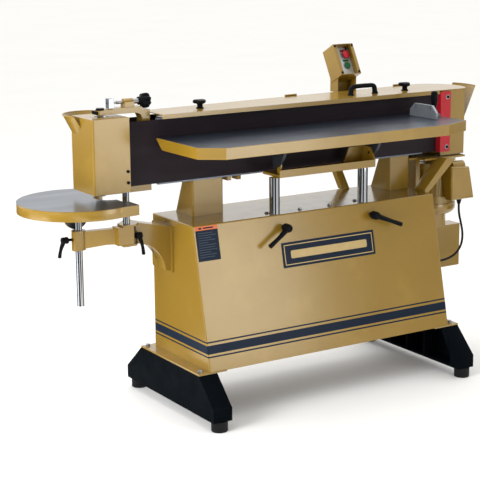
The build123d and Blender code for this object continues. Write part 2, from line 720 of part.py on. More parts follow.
with BuildPart() as tracking_knob:
    with BuildSketch(Plane.YZ.offset(-642)):
        with Locations((idler_y, 1140)):
            Circle(21)
            with PolarLocations(19.5, 7):
                Circle(8)
    extrude(amount=30)
    with Locations(Plane(origin=(-656, idler_y, 1140), z_dir=(1, 0, 0))):
        Cylinder(15, 15, align=(Align.CENTER, Align.CENTER, Align.MIN))
    with Locations(Plane(origin=(-660, idler_y, 1140), z_dir=(1, 0, 0))):
        Cylinder(6, 36, align=(Align.CENTER, Align.CENTER, Align.MIN), mode=Mode.SUBTRACT)
finish(tracking_knob.part, "tracking_knob")

# ---------------------------------------------------------------- top cover
with BuildPart() as top_cover:
    with BuildSketch(Plane.XY.offset(cover_top_z - cover_skin)) as cover_plan:
        with BuildLine():
            cover_front = Line((cover_left_x, guard_front_y - 3), (800, guard_front_y - 3))
            cover_round = ThreePointArc(
                cover_front @ 1, (837, 118), (726, rear_edge_y(726, -0.5)))
            cover_back = Line(cover_round @ 1, (cover_rear_right_x, rear_edge_y(cover_rear_right_x)))
            cover_rear = Line(cover_back @ 1, (cover_left_x, cover_rear_left_y))
            Line(cover_rear @ 1, cover_front @ 0)
        make_face()
    extrude(amount=cover_skin)
    # front lip
    with Locations(((cover_left_x + housing_left_x - 2) / 2, guard_front_y - 1.5, cover_top_z - 8)):
        Box(housing_left_x - 2 - cover_left_x, 3, 16)
    for x in (-400, 551):
        with Locations((x, 78, cover_top_z)):
            Cylinder(5 + running, 20, mode=Mode.SUBTRACT)
finish(top_cover.part, "top_cover")

cover_knobs = {"cover_knob_left": -400, "cover_knob_right": 551}
for knob_name, knob_x in cover_knobs.items():
    with BuildPart() as cover_knob:
        with Locations((knob_x, 78, 1078)):
            Cylinder(5, 20, align=(Align.CENTER, Align.CENTER, Align.MIN))
        with Locations((knob_x, 78, cover_top_z)):
            Cylinder(11, 18, align=(Align.CENTER, Align.CENTER, Align.MIN))
        with BuildSketch(Plane.XY.offset(cover_top_z + 18)):
            with Locations((knob_x, 78)):
                Circle(18)
                with PolarLocations(21, 3):
                    Circle(10)
        extrude(amount=14)
    finish(cover_knob.part, knob_name)

handle_half = 61.0
handle_x = 333.0
handle_y = 66.0
with BuildPart() as cover_handle:
    with BuildLine() as handle_path:
        FilletPolyline(
            (handle_x - handle_half, handle_y, cover_top_z),
            (handle_x - handle_half + 5, handle_y, cover_top_z + 34),
            (handle_x + handle_half - 5, handle_y, cover_top_z + 34),
            (handle_x + handle_half, handle_y, cover_top_z), radius=14)
    with BuildSketch(Plane(origin=handle_path.line @ 0, z_dir=handle_path.line % 0)):
        RectangleRounded(20, 20, 6)
    sweep()
    # broad feet
    for foot_side in (-1, 1):
        with Locations((handle_x + foot_side * (handle_half - 1), handle_y, cover_top_z + 6)):
            Box(28, 22, 12)
    split(bisect_by=Plane.XY.offset(cover_top_z), keep=Keep.TOP)
finish(cover_handle.part, "cover_handle")

# ---------------------------------------------------------------- work table and its lift
with BuildPart() as work_table:
    with BuildSketch(Plane.XY.offset(table_bottom_z)):
        with BuildLine():
            Polyline(
                (table_left_x, table_rear_y), (table_right_x, table_rear_y),
                (table_right_x, table_front_y + 54),
                (table_right_x - 130, table_front_y), (table_left_x + 80, table_front_y),
                (table_left_x, table_front_y + 60), close=True)
        make_face()
    extrude(amount=table_thickness)
    chamfer(work_table.faces().sort_by(Axis.Y)[-1].edges().filter_by(Axis.X).sort_by(Axis.Z)[0],
            length=34, length2=38)
    # ribbed underside, kept solid over the two trunnions
    for left_x, right_x in ((-540, -206), (-135, 236), (315, 530)):
        with Locations(((left_x + right_x) / 2, -148, table_bottom_z)):
            Box(right_x - left_x, 200, 2 * (table_thickness - 14), mode=Mode.SUBTRACT)
    # short gauge slot, open at the drive end
    with Locations((545, -115, table_top_z)):
        Box(100, 20, 20, mode=Mode.SUBTRACT)
finish(work_table.part, "work_table")

trunnion_faces = (post_left_x + 13, post_right_x + 41)
with BuildPart() as table_trunnions:
    for x in trunnion_faces:
        with BuildSketch(Plane.YZ.offset(x)):
            with BuildLine():
                rear_angle = math.radians(-106)
                rear_point = (
                    tilt_y + trunnion_radius * math.cos(rear_angle),
                    tilt_z + trunnion_radius * math.sin(rear_angle))
                mid_angle = math.radians(-143)
                mid_point = (
                    tilt_y + trunnion_radius * math.cos(mid_angle),
                    tilt_z + trunnion_radius * math.sin(mid_angle))
                rim = ThreePointArc(rear_point, mid_point, (tilt_y - trunnion_radius, tilt_z))
                Polyline(rim @ 1, (tilt_y - 8, tilt_z), rim @ 0)
            make_face()
        extrude(amount=13)
        # foot flange under the table
        outward = -1 if x < 0 else 1
        with Locations((x + 6.5 + outward * 9, tilt_y - 58, tilt_z - 4)):
            Box(31, 90, 8)
finish(table_trunnions.part, "table_trunnions")

with BuildPart() as table_posts:
    with Locations((post_left_x, post_y, 445), (post_right_x, post_y, 445)):
        Cylinder(post_radius, support_z - 445, align=(Align.CENTER, Align.CENTER, Align.MIN))
    chamfer(table_posts.faces().group_by(Axis.Z)[0].edges(), length=2)
finish(table_posts.part, "table_posts")

support_left_x = trunnion_faces[0] - 6
support_right_x = trunnion_faces[1] - air
saddle_height = 74
with BuildPart() as support_bar:
    with Locations(((support_left_x + support_right_x) / 2, post_y + 31, support_z + 5)):
        Box(support_right_x - support_left_x, 116, 10)
    with Locations(((support_left_x + support_right_x) / 2, post_y - 25, support_z + 14)):
        Box(support_right_x - support_left_x, 4, 28)
    # saddle plates that clamp the inner faces of the two trunnions, drilled for the lock bolt
    with BuildSketch(Plane.YZ.offset(trunnion_faces[0] + 13 + air)):
        with Locations((post_y + 9, support_z + 33.5)):
            Rectangle(24, 67)
        with Locations((post_y + 9, support_z + 50)):
            Circle(6, mode=Mode.SUBTRACT)
    extrude(amount=6)
    with BuildSketch(Plane.YZ.offset(trunnion_faces[1] - 6 - air)):
        with BuildLine():
            Polyline(
                (post_y - 27, support_z), (post_y + 62, support_z), (post_y + 62, support_z + 56),
                (post_y + 44, support_z + saddle_height), (post_y + 2, support_z + saddle_height),
                (post_y - 27, support_z + 30), close=True)
        make_face()
        with Locations((post_y + 10, support_z + 50)):
            Circle(6, mode=Mode.SUBTRACT)
    extrude(amount=6)
    # web that stiffens the right saddle from behind
    with BuildSketch(Plane.XZ.offset(-(post_y + 50))):
        with BuildLine():
            Polyline(
                (support_right_x - 92, support_z + 9), (support_right_x - 3, support_z + 9),
                (support_right_x - 3, support_z + saddle_height - 1),
                (support_right_x - 70, support_z + saddle_height - 4), close=True)
        make_face()
    extrude(amount=-6)
finish(support_bar.part, "support_bar")

post_levers = {
    "post_lever_left": (post_left_x + 12, (-0.85, 0, -0.53), 106),
    "post_lever_right": (post_right_x + 12, (0.93, 0, -0.37), 122),
}
for lever_name, (lever_x, arm_direction, arm_length) in post_levers.items():
    hub = (lever_x, front_y(660) - 16, 660)
    finish(clamp_lever(hub, (0, -1, 0), arm_direction, arm_length, stud=27, scale=1.3), lever_name)

# ---------------------------------------------------------------- mitre gauge
gauge_y = -115.0
with BuildPart() as miter_bar:
    with Locations((536, gauge_y, table_top_z - 4.9)):
        Box(76, 19, 9)
    with Locations((543, gauge_y, table_top_z - 1)):
        Cylinder(6, 12.5, align=(Align.CENTER, Align.CENTER, Align.MIN))
finish(miter_bar.part, "miter_bar")

with BuildPart() as miter_head:
    with BuildSketch(Plane.XY.offset(table_top_z + 0.5)):
        with BuildLine():
            Polyline((497, gauge_y - 45), (497, gauge_y + 45), (520, gauge_y + 45), (562, gauge_y + 16),
                     (562, gauge_y - 16), (520, gauge_y - 45), close=True)
        make_face()
    extrude(amount=11)
    with Locations((501, gauge_y, table_top_z + 18)):
        Box(8, 90, 34)
    with Locations((543, gauge_y, table_top_z)):
        Cylinder(6 + running, 60, mode=Mode.SUBTRACT)
    # fence plate
    with BuildSketch(Plane.YZ.offset(487)):
        with BuildLine():
            Polyline(
                (gauge_y - 79, table_top_z + 1), (gauge_y + 79, table_top_z + 1),
                (gauge_y + 79, table_top_z + 26),
                (gauge_y + 52, table_top_z + 52), (gauge_y - 52, table_top_z + 52),
                (gauge_y - 79, table_top_z + 26), close=True)
        make_face()
        with Locations((gauge_y - 44, table_top_z + 42), (gauge_y + 44, table_top_z + 42)):
            Rectangle(5, 21, mode=Mode.SUBTRACT)
    extrude(amount=10)
finish(miter_head.part, "miter_head")

with BuildPart() as miter_handle:
    with BuildSketch(Plane.XZ.offset(-gauge_y)):
        with BuildLine():
            Polyline(
                (543, table_top_z + 12), (556, table_top_z + 12), (558, table_top_z + 30),
                (552, table_top_z + 60),
                (556, table_top_z + 92), (550, table_top_z + 99), (543, table_top_z + 100), close=True)
        make_face()
    revolve(axis=Axis((543, gauge_y, 0), (0, 0, 1)))
finish(miter_handle.part, "miter_handle")

# ---------------------------------------------------------------- end table, swinging arm and column
boss_top_z = 706.0
boss_bottom_z = 640.0
ear = 6.0
with BuildPart() as end_bracket:
    # mounting flange on the cabinet side
    with Locations((-cabinet_half_x - 4, 100, 594)):
        Box(8, 150, 172)
    fillet(end_bracket.edges().filter_by(Axis.X), radius=8)
    # tapered web with a hollow underside
    with BuildSketch(Plane.XZ.offset(-96)):
        with BuildLine():
            web_top = Line((-cabinet_half_x - 7, 680), (-700, boss_top_z + ear))
            web_end = Line(web_top @ 1, (-700, boss_bottom_z - ear))
            web_curve = ThreePointArc(web_end @ 1, (-610, 590), (-cabinet_half_x - 30, 520))
            Polyline(web_curve @ 1, (-cabinet_half_x - 7, 515), web_top @ 0)
        make_face()
    extrude(amount=62)
    # ears above and below the boss of the arm
    for ear_z in (boss_top_z, boss_bottom_z - ear):
        with BuildSketch(Plane.XY.offset(ear_z)):
            with BuildLine():
                Polyline((-764, 3), (-714, 3), (-690, 34), (-690, 96), (-716, 96), (-764, 52), close=True)
            make_face()
        extrude(amount=ear)
    with Locations((column_x, column_y, 660)):
        Cylinder(column_radius, 200, mode=Mode.SUBTRACT)
finish(end_bracket.part, "end_bracket")

with BuildPart() as end_column:
    with Locations((column_x, column_y, boss_bottom_z - ear - 4)):
        Cylinder(column_radius, guard_bottom_z - boss_bottom_z + ear + 4,
                 align=(Align.CENTER, Align.CENTER, Align.MIN))
finish(end_column.part, "end_column")

arm_low_z = boss_bottom_z + air
arm_high_z = boss_top_z - air
bar_side = (lift_y - column_y, column_x - lift_x, 0)
with BuildPart() as end_arm:
    with Locations((column_x - 13, column_y + 1, arm_low_z)):
        Box(62, 46, arm_high_z - arm_low_z, align=(Align.CENTER, Align.CENTER, Align.MIN))
    # bar from the swing boss to the lift clamp, deeper towards the clamp
    bar_plane = Plane(
        origin=(column_x, column_y, 0), x_dir=(lift_x - column_x, lift_y - column_y, 0), z_dir=bar_side)
    with BuildSketch(bar_plane.offset(-14)):
        with BuildLine():
            Polyline(
                (28, arm_low_z + 2), (74, arm_low_z + 1), (156, 630), (156, 692), (28, arm_high_z - 5),
                close=True)
        make_face()
    extrude(amount=28)
    with BuildSketch(Plane.XY.offset(626)):
        with Locations((lift_x, lift_y)):
            Circle(25)
        with Locations((lift_x - 14, lift_y - 12)):
            Rectangle(30, 26)
    extrude(amount=70)
    fillet(end_arm.edges().filter_by(Axis.Z).group_by(Axis.X)[0], radius=4)
    with Locations((column_x, column_y, 660)):
        Cylinder(column_radius + running, 200, mode=Mode.SUBTRACT)
    with Locations((lift_x, lift_y, 660)):
        Cylinder(lift_radius + running, 200, mode=Mode.SUBTRACT)
    with Locations(Plane(origin=(lift_x - 60, lift_y - 12, 668), z_dir=(1, 0, 0))):
        Cylinder(5.5, 40, align=(Align.CENTER, Align.CENTER, Align.MIN), mode=Mode.SUBTRACT)
    with Locations(Plane(origin=(column_x + 40, column_y - 12, 668), z_dir=(-1, 0, 0))):
        Cylinder(5.5, 28, align=(Align.CENTER, Align.CENTER, Align.MIN), mode=Mode.SUBTRACT)
finish(end_arm.part, "end_arm")

with BuildPart() as end_lift_post:
    with Locations((lift_x, lift_y, 419)):
        Cylinder(lift_radius, 764 - 419, align=(Align.CENTER, Align.CENTER, Align.MIN))
    with Locations(Plane(origin=(lift_x, lift_y, end_pivot_z), z_dir=(0, 1, 0))):
        Cylinder(6, 40, align=(Align.CENTER, Align.CENTER, Align.MIN))
finish(end_lift_post.part, "end_lift_post")

with BuildPart() as end_table:
    with BuildSketch(Plane.XY.offset(end_bottom_z)):
        with Locations(end_centre):
            Circle(end_radius)
        with BuildLine():
            Polyline(
                end_centre, (end_centre[0] + 60, end_centre[1] - 211), (-757, -105),
                (-757, end_centre[1]), close=True)
        make_face()
        with Locations((idler_x + 26, idler_y + 4)):
            Circle(55, mode=Mode.SUBTRACT)
        with Locations((-717, 171)):
            Rectangle(120, 398, mode=Mode.SUBTRACT)
        with Locations((-697, 0)):
            Rectangle(120, 400, mode=Mode.SUBTRACT)
    extrude(amount=end_thickness)
    with BuildSketch(Plane.XY.offset(end_bottom_z)):
        with Locations(end_centre):
            Circle(end_radius - 14)
        with Locations(end_centre):
            Circle(96, mode=Mode.SUBTRACT)
        with Locations((-760, 130)):
            Rectangle(150, 500, mode=Mode.SUBTRACT)
    extrude(amount=end_thickness - 12, mode=Mode.SUBTRACT)
    # hinge cheek behind the lift post
    with BuildSketch(Plane.XZ.offset(-(lift_y + lift_radius + air))):
        with Locations((lift_x, end_pivot_z)):
            Circle(45)
        with Locations((lift_x, (end_pivot_z + end_bottom_z) / 2 + 1)):
            Rectangle(90, end_bottom_z - end_pivot_z + 2)
        with Locations((lift_x, end_pivot_z)):
            Circle(6 + running, mode=Mode.SUBTRACT)
    extrude(amount=-14)
finish(end_table.part, "end_table")

left_lever = clamp_lever((lift_x - 48, lift_y - 12, 668), (-1, 0, 0), (0, 0.24, -0.97), 66)
finish(left_lever, "end_lever_left")
right_lever = clamp_lever((column_x + 29, column_y - 12, 668), (1, 0, 0), (0, -0.1, -0.99), 72, stud=16)
finish(right_lever, "end_lever_right")

# ---------------------------------------------------------------- control box on its post
lean = math.radians(box_lean)
up_axis = (0, math.sin(lean), math.cos(lean))
face_normal = (0, -math.cos(lean), math.sin(lean))
box_origin = (379.0, 233.0, 1218.0)
face_plane = Plane(origin=box_origin, x_dir=(1, 0, 0), z_dir=face_normal)
panel_depth = 40.0            # how far the panel sits back from the front lips
lip_width = 14.0
with BuildPart() as control_box:
    with BuildSketch(face_plane):
        Rectangle(box_width, box_length)
    extrude(amount=-box_depth)
    fillet(control_box.edges().filter_by(Axis.X).group_by(Axis.Y)[-1], radius=4)
    with BuildSketch(face_plane.offset(-2.5)):
        Rectangle(box_width - 5, box_length - 5)
    extrude(amount=-(box_depth - 5), mode=Mode.SUBTRACT)
    # front opening between the two screwed lips
    with BuildSketch(face_plane.offset(1)):
        Rectangle(box_width - 2 * lip_width, box_length - 5)
    extrude(amount=-10, mode=Mode.SUBTRACT)
finish(control_box.part, "control_box")

button_u = 20.0               # the buttons sit right of the middle of the box
stop_v = 30.0
start_v = -14.0
with BuildPart() as control_panel:
    with BuildSketch(face_plane.offset(-panel_depth)):
        Rectangle(box_width - 5.6, box_length - 5.6)
        with Locations((button_u, stop_v), (button_u, start_v)):
            Circle(8.2, mode=Mode.SUBTRACT)
    extrude(amount=-3)
finish(control_panel.part, "control_panel")

with BuildPart() as stop_button:
    with BuildSketch(face_plane.offset(-panel_depth - 14)):
        with Locations((button_u, stop_v)):
            Circle(7.9)
    extrude(amount=26)
    with BuildSketch(face_plane.offset(-panel_depth + 12)):
        with Locations((button_u, stop_v)):
            Circle(17)
    extrude(amount=9, taper=12)
finish(stop_button.part, "stop_button")

with BuildPart() as start_button:
    with BuildSketch(face_plane.offset(-panel_depth - 14)):
        with Locations((button_u, start_v)):
            Circle(7.9)
    extrude(amount=19)
    with BuildSketch(face_plane.offset(-panel_depth + 5)):
        with Locations((button_u, start_v)):
            Circle(12)
    extrude(amount=4)
finish(start_button.part, "start_button")

with BuildPart() as switch_post:
    with BuildLine() as switch_path:
        Polyline((327, 163, cabinet_top_z - 20), (326, 258, 820), (372, 258, 1092))
    with BuildSketch(Plane(origin=switch_path.line @ 0, x_dir=(1, 0, 0), z_dir=switch_path.line % 0)):
        Rectangle(34, 26)
    sweep(transition=Transition.RIGHT)
    split(bisect_by=Plane.XY.offset(cabinet_top_z), keep=Keep.TOP)
    # open channel that carries the control box
    with Locations((379, 258, 1126)):
        Box(92, 52, 80)
    with Locations((379, 255, 1124)):
        Box(86, 52, 70, mode=Mode.SUBTRACT)
    with BuildSketch(face_plane.offset(1)):
        Rectangle(box_width + 10, box_length)
    extrude(amount=-box_depth - 1, mode=Mode.SUBTRACT)
finish(switch_post.part, "switch_post")
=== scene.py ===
import json
import math

import bpy
from mathutils import Matrix, Vector


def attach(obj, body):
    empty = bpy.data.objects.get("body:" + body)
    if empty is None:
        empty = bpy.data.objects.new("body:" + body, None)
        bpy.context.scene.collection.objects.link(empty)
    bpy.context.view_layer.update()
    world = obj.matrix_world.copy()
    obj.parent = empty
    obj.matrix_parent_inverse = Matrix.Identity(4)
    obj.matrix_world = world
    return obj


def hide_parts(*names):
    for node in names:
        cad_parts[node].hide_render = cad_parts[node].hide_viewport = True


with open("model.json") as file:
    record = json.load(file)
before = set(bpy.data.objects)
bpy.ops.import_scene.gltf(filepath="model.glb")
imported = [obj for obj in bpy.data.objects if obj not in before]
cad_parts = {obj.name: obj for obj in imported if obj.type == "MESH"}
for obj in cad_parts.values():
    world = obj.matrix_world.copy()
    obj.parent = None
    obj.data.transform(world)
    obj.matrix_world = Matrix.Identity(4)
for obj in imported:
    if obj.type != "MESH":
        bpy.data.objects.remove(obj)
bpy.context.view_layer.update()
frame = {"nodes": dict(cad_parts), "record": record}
nodes = frame["nodes"]
scene = bpy.context.scene
MM = 0.001


# ---------------------------------------------------------------- camera
def aim_camera(position, yaw, pitch, roll, lens):
    """Camera at position that looks along +Y, turned by yaw about Z, then pitch and roll."""
    forward = Vector((-math.sin(yaw) * math.cos(pitch), math.cos(yaw) * math.cos(pitch), math.sin(pitch)))
    level_right = forward.cross(Vector((0, 0, 1))).normalized()
    level_up = level_right.cross(forward)
    right = level_right * math.cos(roll) + level_up * math.sin(roll)
    up = level_up * math.cos(roll) - level_right * math.sin(roll)
    data = bpy.data.cameras.new("camera")
    data.sensor_width = 36.0
    data.lens = lens
    data.clip_end = 200.0
    camera = bpy.data.objects.new("camera", data)
    scene.collection.objects.link(camera)
    turn = Matrix((right, up, -forward)).transposed()
    camera.matrix_world = Matrix.Translation(position) @ turn.to_4x4()
    scene.camera = camera


aim_camera(Vector((-3.0114, -4.3452, 1.7537)), -0.561, -0.221, -0.008, 105.96)


# ---------------------------------------------------------------- materials
def ramp(tree, factor, stops):
    """Colour ramp fed by factor; stops are (position, linear colour)."""
    node = tree.nodes.new("ShaderNodeValToRGB")
    node.color_ramp.interpolation = "EASE"
    while len(node.color_ramp.elements) < len(stops):
        node.color_ramp.elements.new(0.5)
    for element, (place, colour) in zip(node.color_ramp.elements, stops):
        element.position = place
        element.color = (*colour, 1.0)
    tree.links.new(factor, node.inputs["Fac"])
    return node.outputs["Color"]


def noise(tree, coords, scale, stretch=(1, 1, 1), detail=3.0, rough=0.55):
    """Noise in object space, one value."""
    mapping = tree.nodes.new("ShaderNodeMapping")
    mapping.inputs["Scale"].default_value = stretch
    tree.links.new(coords, mapping.inputs["Vector"])
    node = tree.nodes.new("ShaderNodeTexNoise")
    node.inputs["Scale"].default_value = scale
    node.inputs["Detail"].default_value = detail
    node.inputs["Roughness"].default_value = rough
    tree.links.new(mapping.outputs["Vector"], node.inputs["Vector"])
    return node.outputs["Fac"]


def remap(tree, value, low, high, start=0.3, end=0.7):
    node = tree.nodes.new("ShaderNodeMapRange")
    node.interpolation_type = "SMOOTHSTEP"
    node.inputs["From Min"].default_value = start
    node.inputs["From Max"].default_value = end
    node.inputs["To Min"].default_value = low
    node.inputs["To Max"].default_value = high
    tree.links.new(value, node.inputs["Value"])
    return node.outputs["Result"]


def bump(tree, height, distance, strength=1.0, under=None):
    node = tree.nodes.new("ShaderNodeBump")
    node.inputs["Distance"].default_value = distance
    node.inputs["Strength"].default_value = strength
    tree.links.new(height, node.inputs["Height"])
    if under is not None:
        tree.links.new(under, node.inputs["Normal"])
    return node.outputs["Normal"]


def mix(tree, mask, first, second, kind="RGBA"):
    node = tree.nodes.new("ShaderNodeMix")
    node.data_type = kind
    sockets = [s for s in node.inputs if s.enabled]
    out = [s for s in node.outputs if s.enabled][0]
    tree.links.new(mask, sockets[0])
    for socket, value in ((sockets[1], first), (sockets[2], second)):
        if isinstance(value, (int, float)):
            socket.default_value = value
        else:
            tree.links.new(value, socket)
    return out


def shade(colour, factor):
    return tuple(min(channel * factor, 1.0) for channel in colour)


def surface(tree, coords, spec):
    """Colour, roughness and normal of one finish described by the dict spec."""
    colour = spec["colour"]
    vary = spec.get("vary", 0.06)
    stretch = spec.get("stretch", (1, 1, 1))
    blotch = noise(tree, coords, spec.get("blotch", 7.0), stretch, 4.0)
    dark_tone = shade(colour, 1 - vary)
    light_tone = shade(spec.get("light", colour), 1 + vary)
    tone = ramp(tree, blotch, [(0.3, dark_tone), (0.5, colour), (0.7, light_tone)])
    fine = noise(tree, coords, spec.get("grain", 600.0), spec.get("grain_stretch", (1, 1, 1)), 3.0)
    rough = spec.get("rough", 0.4)
    spread = spec.get("rough_vary", 0.05)
    wear = noise(tree, coords, spec.get("rough_scale", 14.0), stretch)
    roughness = remap(tree, wear, rough - spread, rough + spread)
    normal = bump(tree, fine, spec.get("depth", 0.0002), spec.get("strength", 0.3))
    if "lumps" in spec:
        lumps = noise(tree, coords, spec["lumps"])
        normal = bump(tree, lumps, spec.get("lump_depth", 0.0006), 0.5, normal)
    if "speckle" in spec:
        dots = remap(tree, fine, 0.0, 1.0, 0.56, 0.68)
        grit = ramp(tree, blotch, [(0.0, spec["speckle"]), (1.0, spec["speckle"])])
        tone = mix(tree, dots, tone, grit)
    return tone, roughness, normal


WHITE = (1.0, 1.0, 1.0)


def finish_material(name, spec, other=None, axis="Z", edge=0.0):
    """Principled material of finish spec. Beyond edge along axis, in object space, it is the finish other."""
    material = bpy.data.materials.new(name)
    material.use_nodes = True
    tree = material.node_tree
    shader = tree.nodes["Principled BSDF"]
    coords = tree.nodes.new("ShaderNodeTexCoord").outputs["Object"]
    tone, roughness, normal = surface(tree, coords, spec)
    if other is None:
        shader.inputs["Metallic"].default_value = spec.get("metal", 0.0)
        shader.inputs["Specular Tint"].default_value = (*spec.get("tint", WHITE), 1.0)
    else:
        split = tree.nodes.new("ShaderNodeSeparateXYZ")
        tree.links.new(coords, split.inputs["Vector"])
        beyond = tree.nodes.new("ShaderNodeMath")
        beyond.operation = "GREATER_THAN"
        beyond.inputs[1].default_value = edge
        tree.links.new(split.outputs[axis], beyond.inputs[0])
        mask = beyond.outputs["Value"]
        tone_2, roughness_2, normal_2 = surface(tree, coords, other)
        tone = mix(tree, mask, tone, tone_2)
        roughness = mix(tree, mask, roughness, roughness_2, "FLOAT")
        normal = mix(tree, mask, normal, normal_2, "VECTOR")
        metal = mix(tree, mask, spec.get("metal", 0.0), other.get("metal", 0.0), "FLOAT")
        tree.links.new(metal, shader.inputs["Metallic"])
        tint = ramp(tree, mask, [(0.0, spec.get("tint", WHITE)), (1.0, other.get("tint", WHITE))])
        tree.links.new(tint, shader.inputs["Specular Tint"])
    tree.links.new(tone, shader.inputs["Base Color"])
    tree.links.new(roughness, shader.inputs["Roughness"])
    tree.links.new(normal, shader.inputs["Normal"])
    shader.inputs["IOR"].default_value = spec.get("ior", 1.5)
    shader.inputs["Specular IOR Level"].default_value = spec.get("shine", 0.5)
    shader.inputs["Coat Weight"].default_value = spec.get("coat", 0.0)
    shader.inputs["Coat Roughness"].default_value = spec.get("coat_rough", 0.1)
    return material


# finishes; lengths in metres, colours linear
OCHRE = {
    "colour": (0.252, 0.146, 0.0125), "light": (0.270, 0.159, 0.0165), "vary": 0.04, "blotch": 5.0,
    "rough": 0.25, "rough_vary": 0.018, "rough_scale": 6.0, "ior": 1.75, "tint": (1.0, 0.93, 0.76),
    "coat": 0.3, "coat_rough": 0.16, "grain": 35.0, "depth": 0.0002, "strength": 0.008,
    "lumps": 7.0, "lump_depth": 0.0012}
# painted shade: darker, less glossy copy of the ochre paint for the cabinet's top sheet, standing in for the
# dark reflection of the belt above it
OCHRE_TOP_PAINTED_SHADE = {
    "colour": (0.19, 0.110, 0.010), "vary": 0.08, "blotch": 9.0, "rough": 0.18, "rough_vary": 0.04,
    "ior": 1.25, "grain": 35.0, "depth": 0.0002, "strength": 0.008}
CAST_BLACK = {
    "colour": (0.0026, 0.0040, 0.0056), "ior": 1.1, "shine": 0.15, "vary": 0.25, "blotch": 18.0,
    "rough": 0.45, "rough_vary": 0.08, "grain": 420.0, "depth": 0.0004, "strength": 0.5, "lumps": 60.0}
RUBBER = {
    "colour": (0.006, 0.006, 0.007), "shine": 0.2, "vary": 0.2, "rough": 0.62, "grain": 900.0,
    "depth": 0.0002}
IRON_TOP = {
    "colour": (0.066, 0.087, 0.130), "light": (0.084, 0.106, 0.148), "vary": 0.08, "blotch": 9.0,
    "stretch": (0.25, 1.2, 1), "metal": 0.9, "rough": 0.315, "rough_vary": 0.03, "rough_scale": 12.0,
    "grain": 500.0, "grain_stretch": (0.05, 1.6, 1), "depth": 0.0001, "strength": 0.10}
CHROME = {
    "colour": (0.42, 0.44, 0.465), "vary": 0.04, "metal": 1.0, "rough": 0.06, "rough_vary": 0.02,
    "grain": 400.0, "grain_stretch": (1, 1, 0.05), "depth": 0.00002, "strength": 0.2}
POST_STEEL = {
    "colour": (0.26, 0.275, 0.30), "vary": 0.05, "metal": 1.0, "rough": 0.22, "grain": 500.0,
    "grain_stretch": (1, 1, 0.05), "depth": 0.00005}
STEEL = {
    "colour": (0.34, 0.34, 0.35), "vary": 0.12, "blotch": 60.0, "metal": 1.0, "rough": 0.34,
    "grain": 700.0, "depth": 0.0001}
DRUM = {
    "colour": (0.25, 0.25, 0.26), "vary": 0.12, "metal": 1.0, "rough": 0.38, "grain": 400.0,
    "grain_stretch": (0.1, 0.1, 4), "depth": 0.0002}
DARK_IRON = {
    "colour": (0.035, 0.040, 0.050), "vary": 0.2, "blotch": 30.0, "metal": 0.5, "rough": 0.4,
    "grain": 500.0, "depth": 0.0003}
GRAPHITE = {
    "colour": (0.15, 0.17, 0.21), "vary": 0.15, "blotch": 25.0, "metal": 0.6, "rough": 0.42,
    "grain": 500.0, "depth": 0.0002}
ALLOY = {
    "colour": (0.34, 0.37, 0.40), "vary": 0.08, "blotch": 30.0, "metal": 0.7, "rough": 0.35,
    "grain": 500.0, "grain_stretch": (1, 0.1, 1), "depth": 0.0001}
BELT = {
    "colour": (0.0125, 0.0075, 0.011), "light": (0.016, 0.010, 0.014), "shine": 0.2, "vary": 0.12,
    "blotch": 5.0, "stretch": (0.3, 1, 2.0), "rough": 0.62, "rough_vary": 0.06, "grain": 1500.0,
    "depth": 0.0004, "strength": 0.6, "speckle": (0.03, 0.022, 0.028)}
PLASTIC = {
    "colour": (0.0045, 0.005, 0.006), "ior": 1.2, "shine": 0.3, "vary": 0.1, "rough": 0.36,
    "grain": 900.0, "depth": 0.00015}
RED = {
    "colour": (0.42, 0.012, 0.022), "vary": 0.08, "blotch": 30.0, "rough": 0.34, "grain": 500.0, "ior": 1.42}
PANEL = {
    "colour": (0.74, 0.77, 0.76), "vary": 0.06, "blotch": 40.0, "metal": 0.3, "rough": 0.4, "grain": 900.0}
RED_BUTTON = {
    "colour": (0.55, 0.012, 0.03), "vary": 0.05, "rough": 0.22, "grain": 900.0, "depth": 0.00005}
GREEN_BUTTON = {
    "colour": (0.012, 0.17, 0.06), "vary": 0.05, "rough": 0.21, "grain": 900.0, "depth": 0.00005}
NAVY = {
    "colour": (0.010, 0.017, 0.032), "ior": 1.18, "vary": 0.08, "blotch": 20.0, "rough": 0.34,
    "grain": 700.0, "depth": 0.00005}
LABEL_LINE = {
    "colour": (0.040, 0.056, 0.082), "ior": 1.3, "vary": 0.1, "blotch": 60.0, "rough": 0.4, "grain": 900.0}
GOLD_LINE = {"colour": (0.46, 0.33, 0.13), "vary": 0.05, "blotch": 30.0, "rough": 0.35, "grain": 700.0}
ORANGE = {"colour": (0.62, 0.13, 0.03), "vary": 0.05, "blotch": 30.0, "rough": 0.4, "grain": 700.0}
FLOOR_WHITE = {
    "colour": (0.92, 0.92, 0.92), "vary": 0.01, "blotch": 1.0, "rough": 0.7, "grain": 40.0,
    "depth": 0.0002, "strength": 0.1, "shine": 0.0}

FINISHES = {
    "ochre_paint": OCHRE, "dark_cast": CAST_BLACK, "foot_rubber": RUBBER, "chrome": CHROME, "steel": STEEL,
    "drum_steel": DRUM, "dark_iron": DARK_IRON, "graphite": GRAPHITE, "abrasive": BELT,
    "black_plastic": PLASTIC, "cable_rubber": RUBBER, "red_paint": RED, "panel_grey": PANEL,
    "red_button": RED_BUTTON, "green_button": GREEN_BUTTON,
}
made = {name: finish_material(name, spec) for name, spec in FINISHES.items()}
made["navy"] = finish_material("navy_decal", NAVY)
made["gold_line"] = finish_material("gold_line", GOLD_LINE)
made["orange"] = finish_material("orange_decal", ORANGE)
made["alloy"] = finish_material("light_alloy", ALLOY)
made["label_line"] = finish_material("label_line", LABEL_LINE)
made["tracking_post"] = finish_material("tracking_post_finish", POST_STEEL)
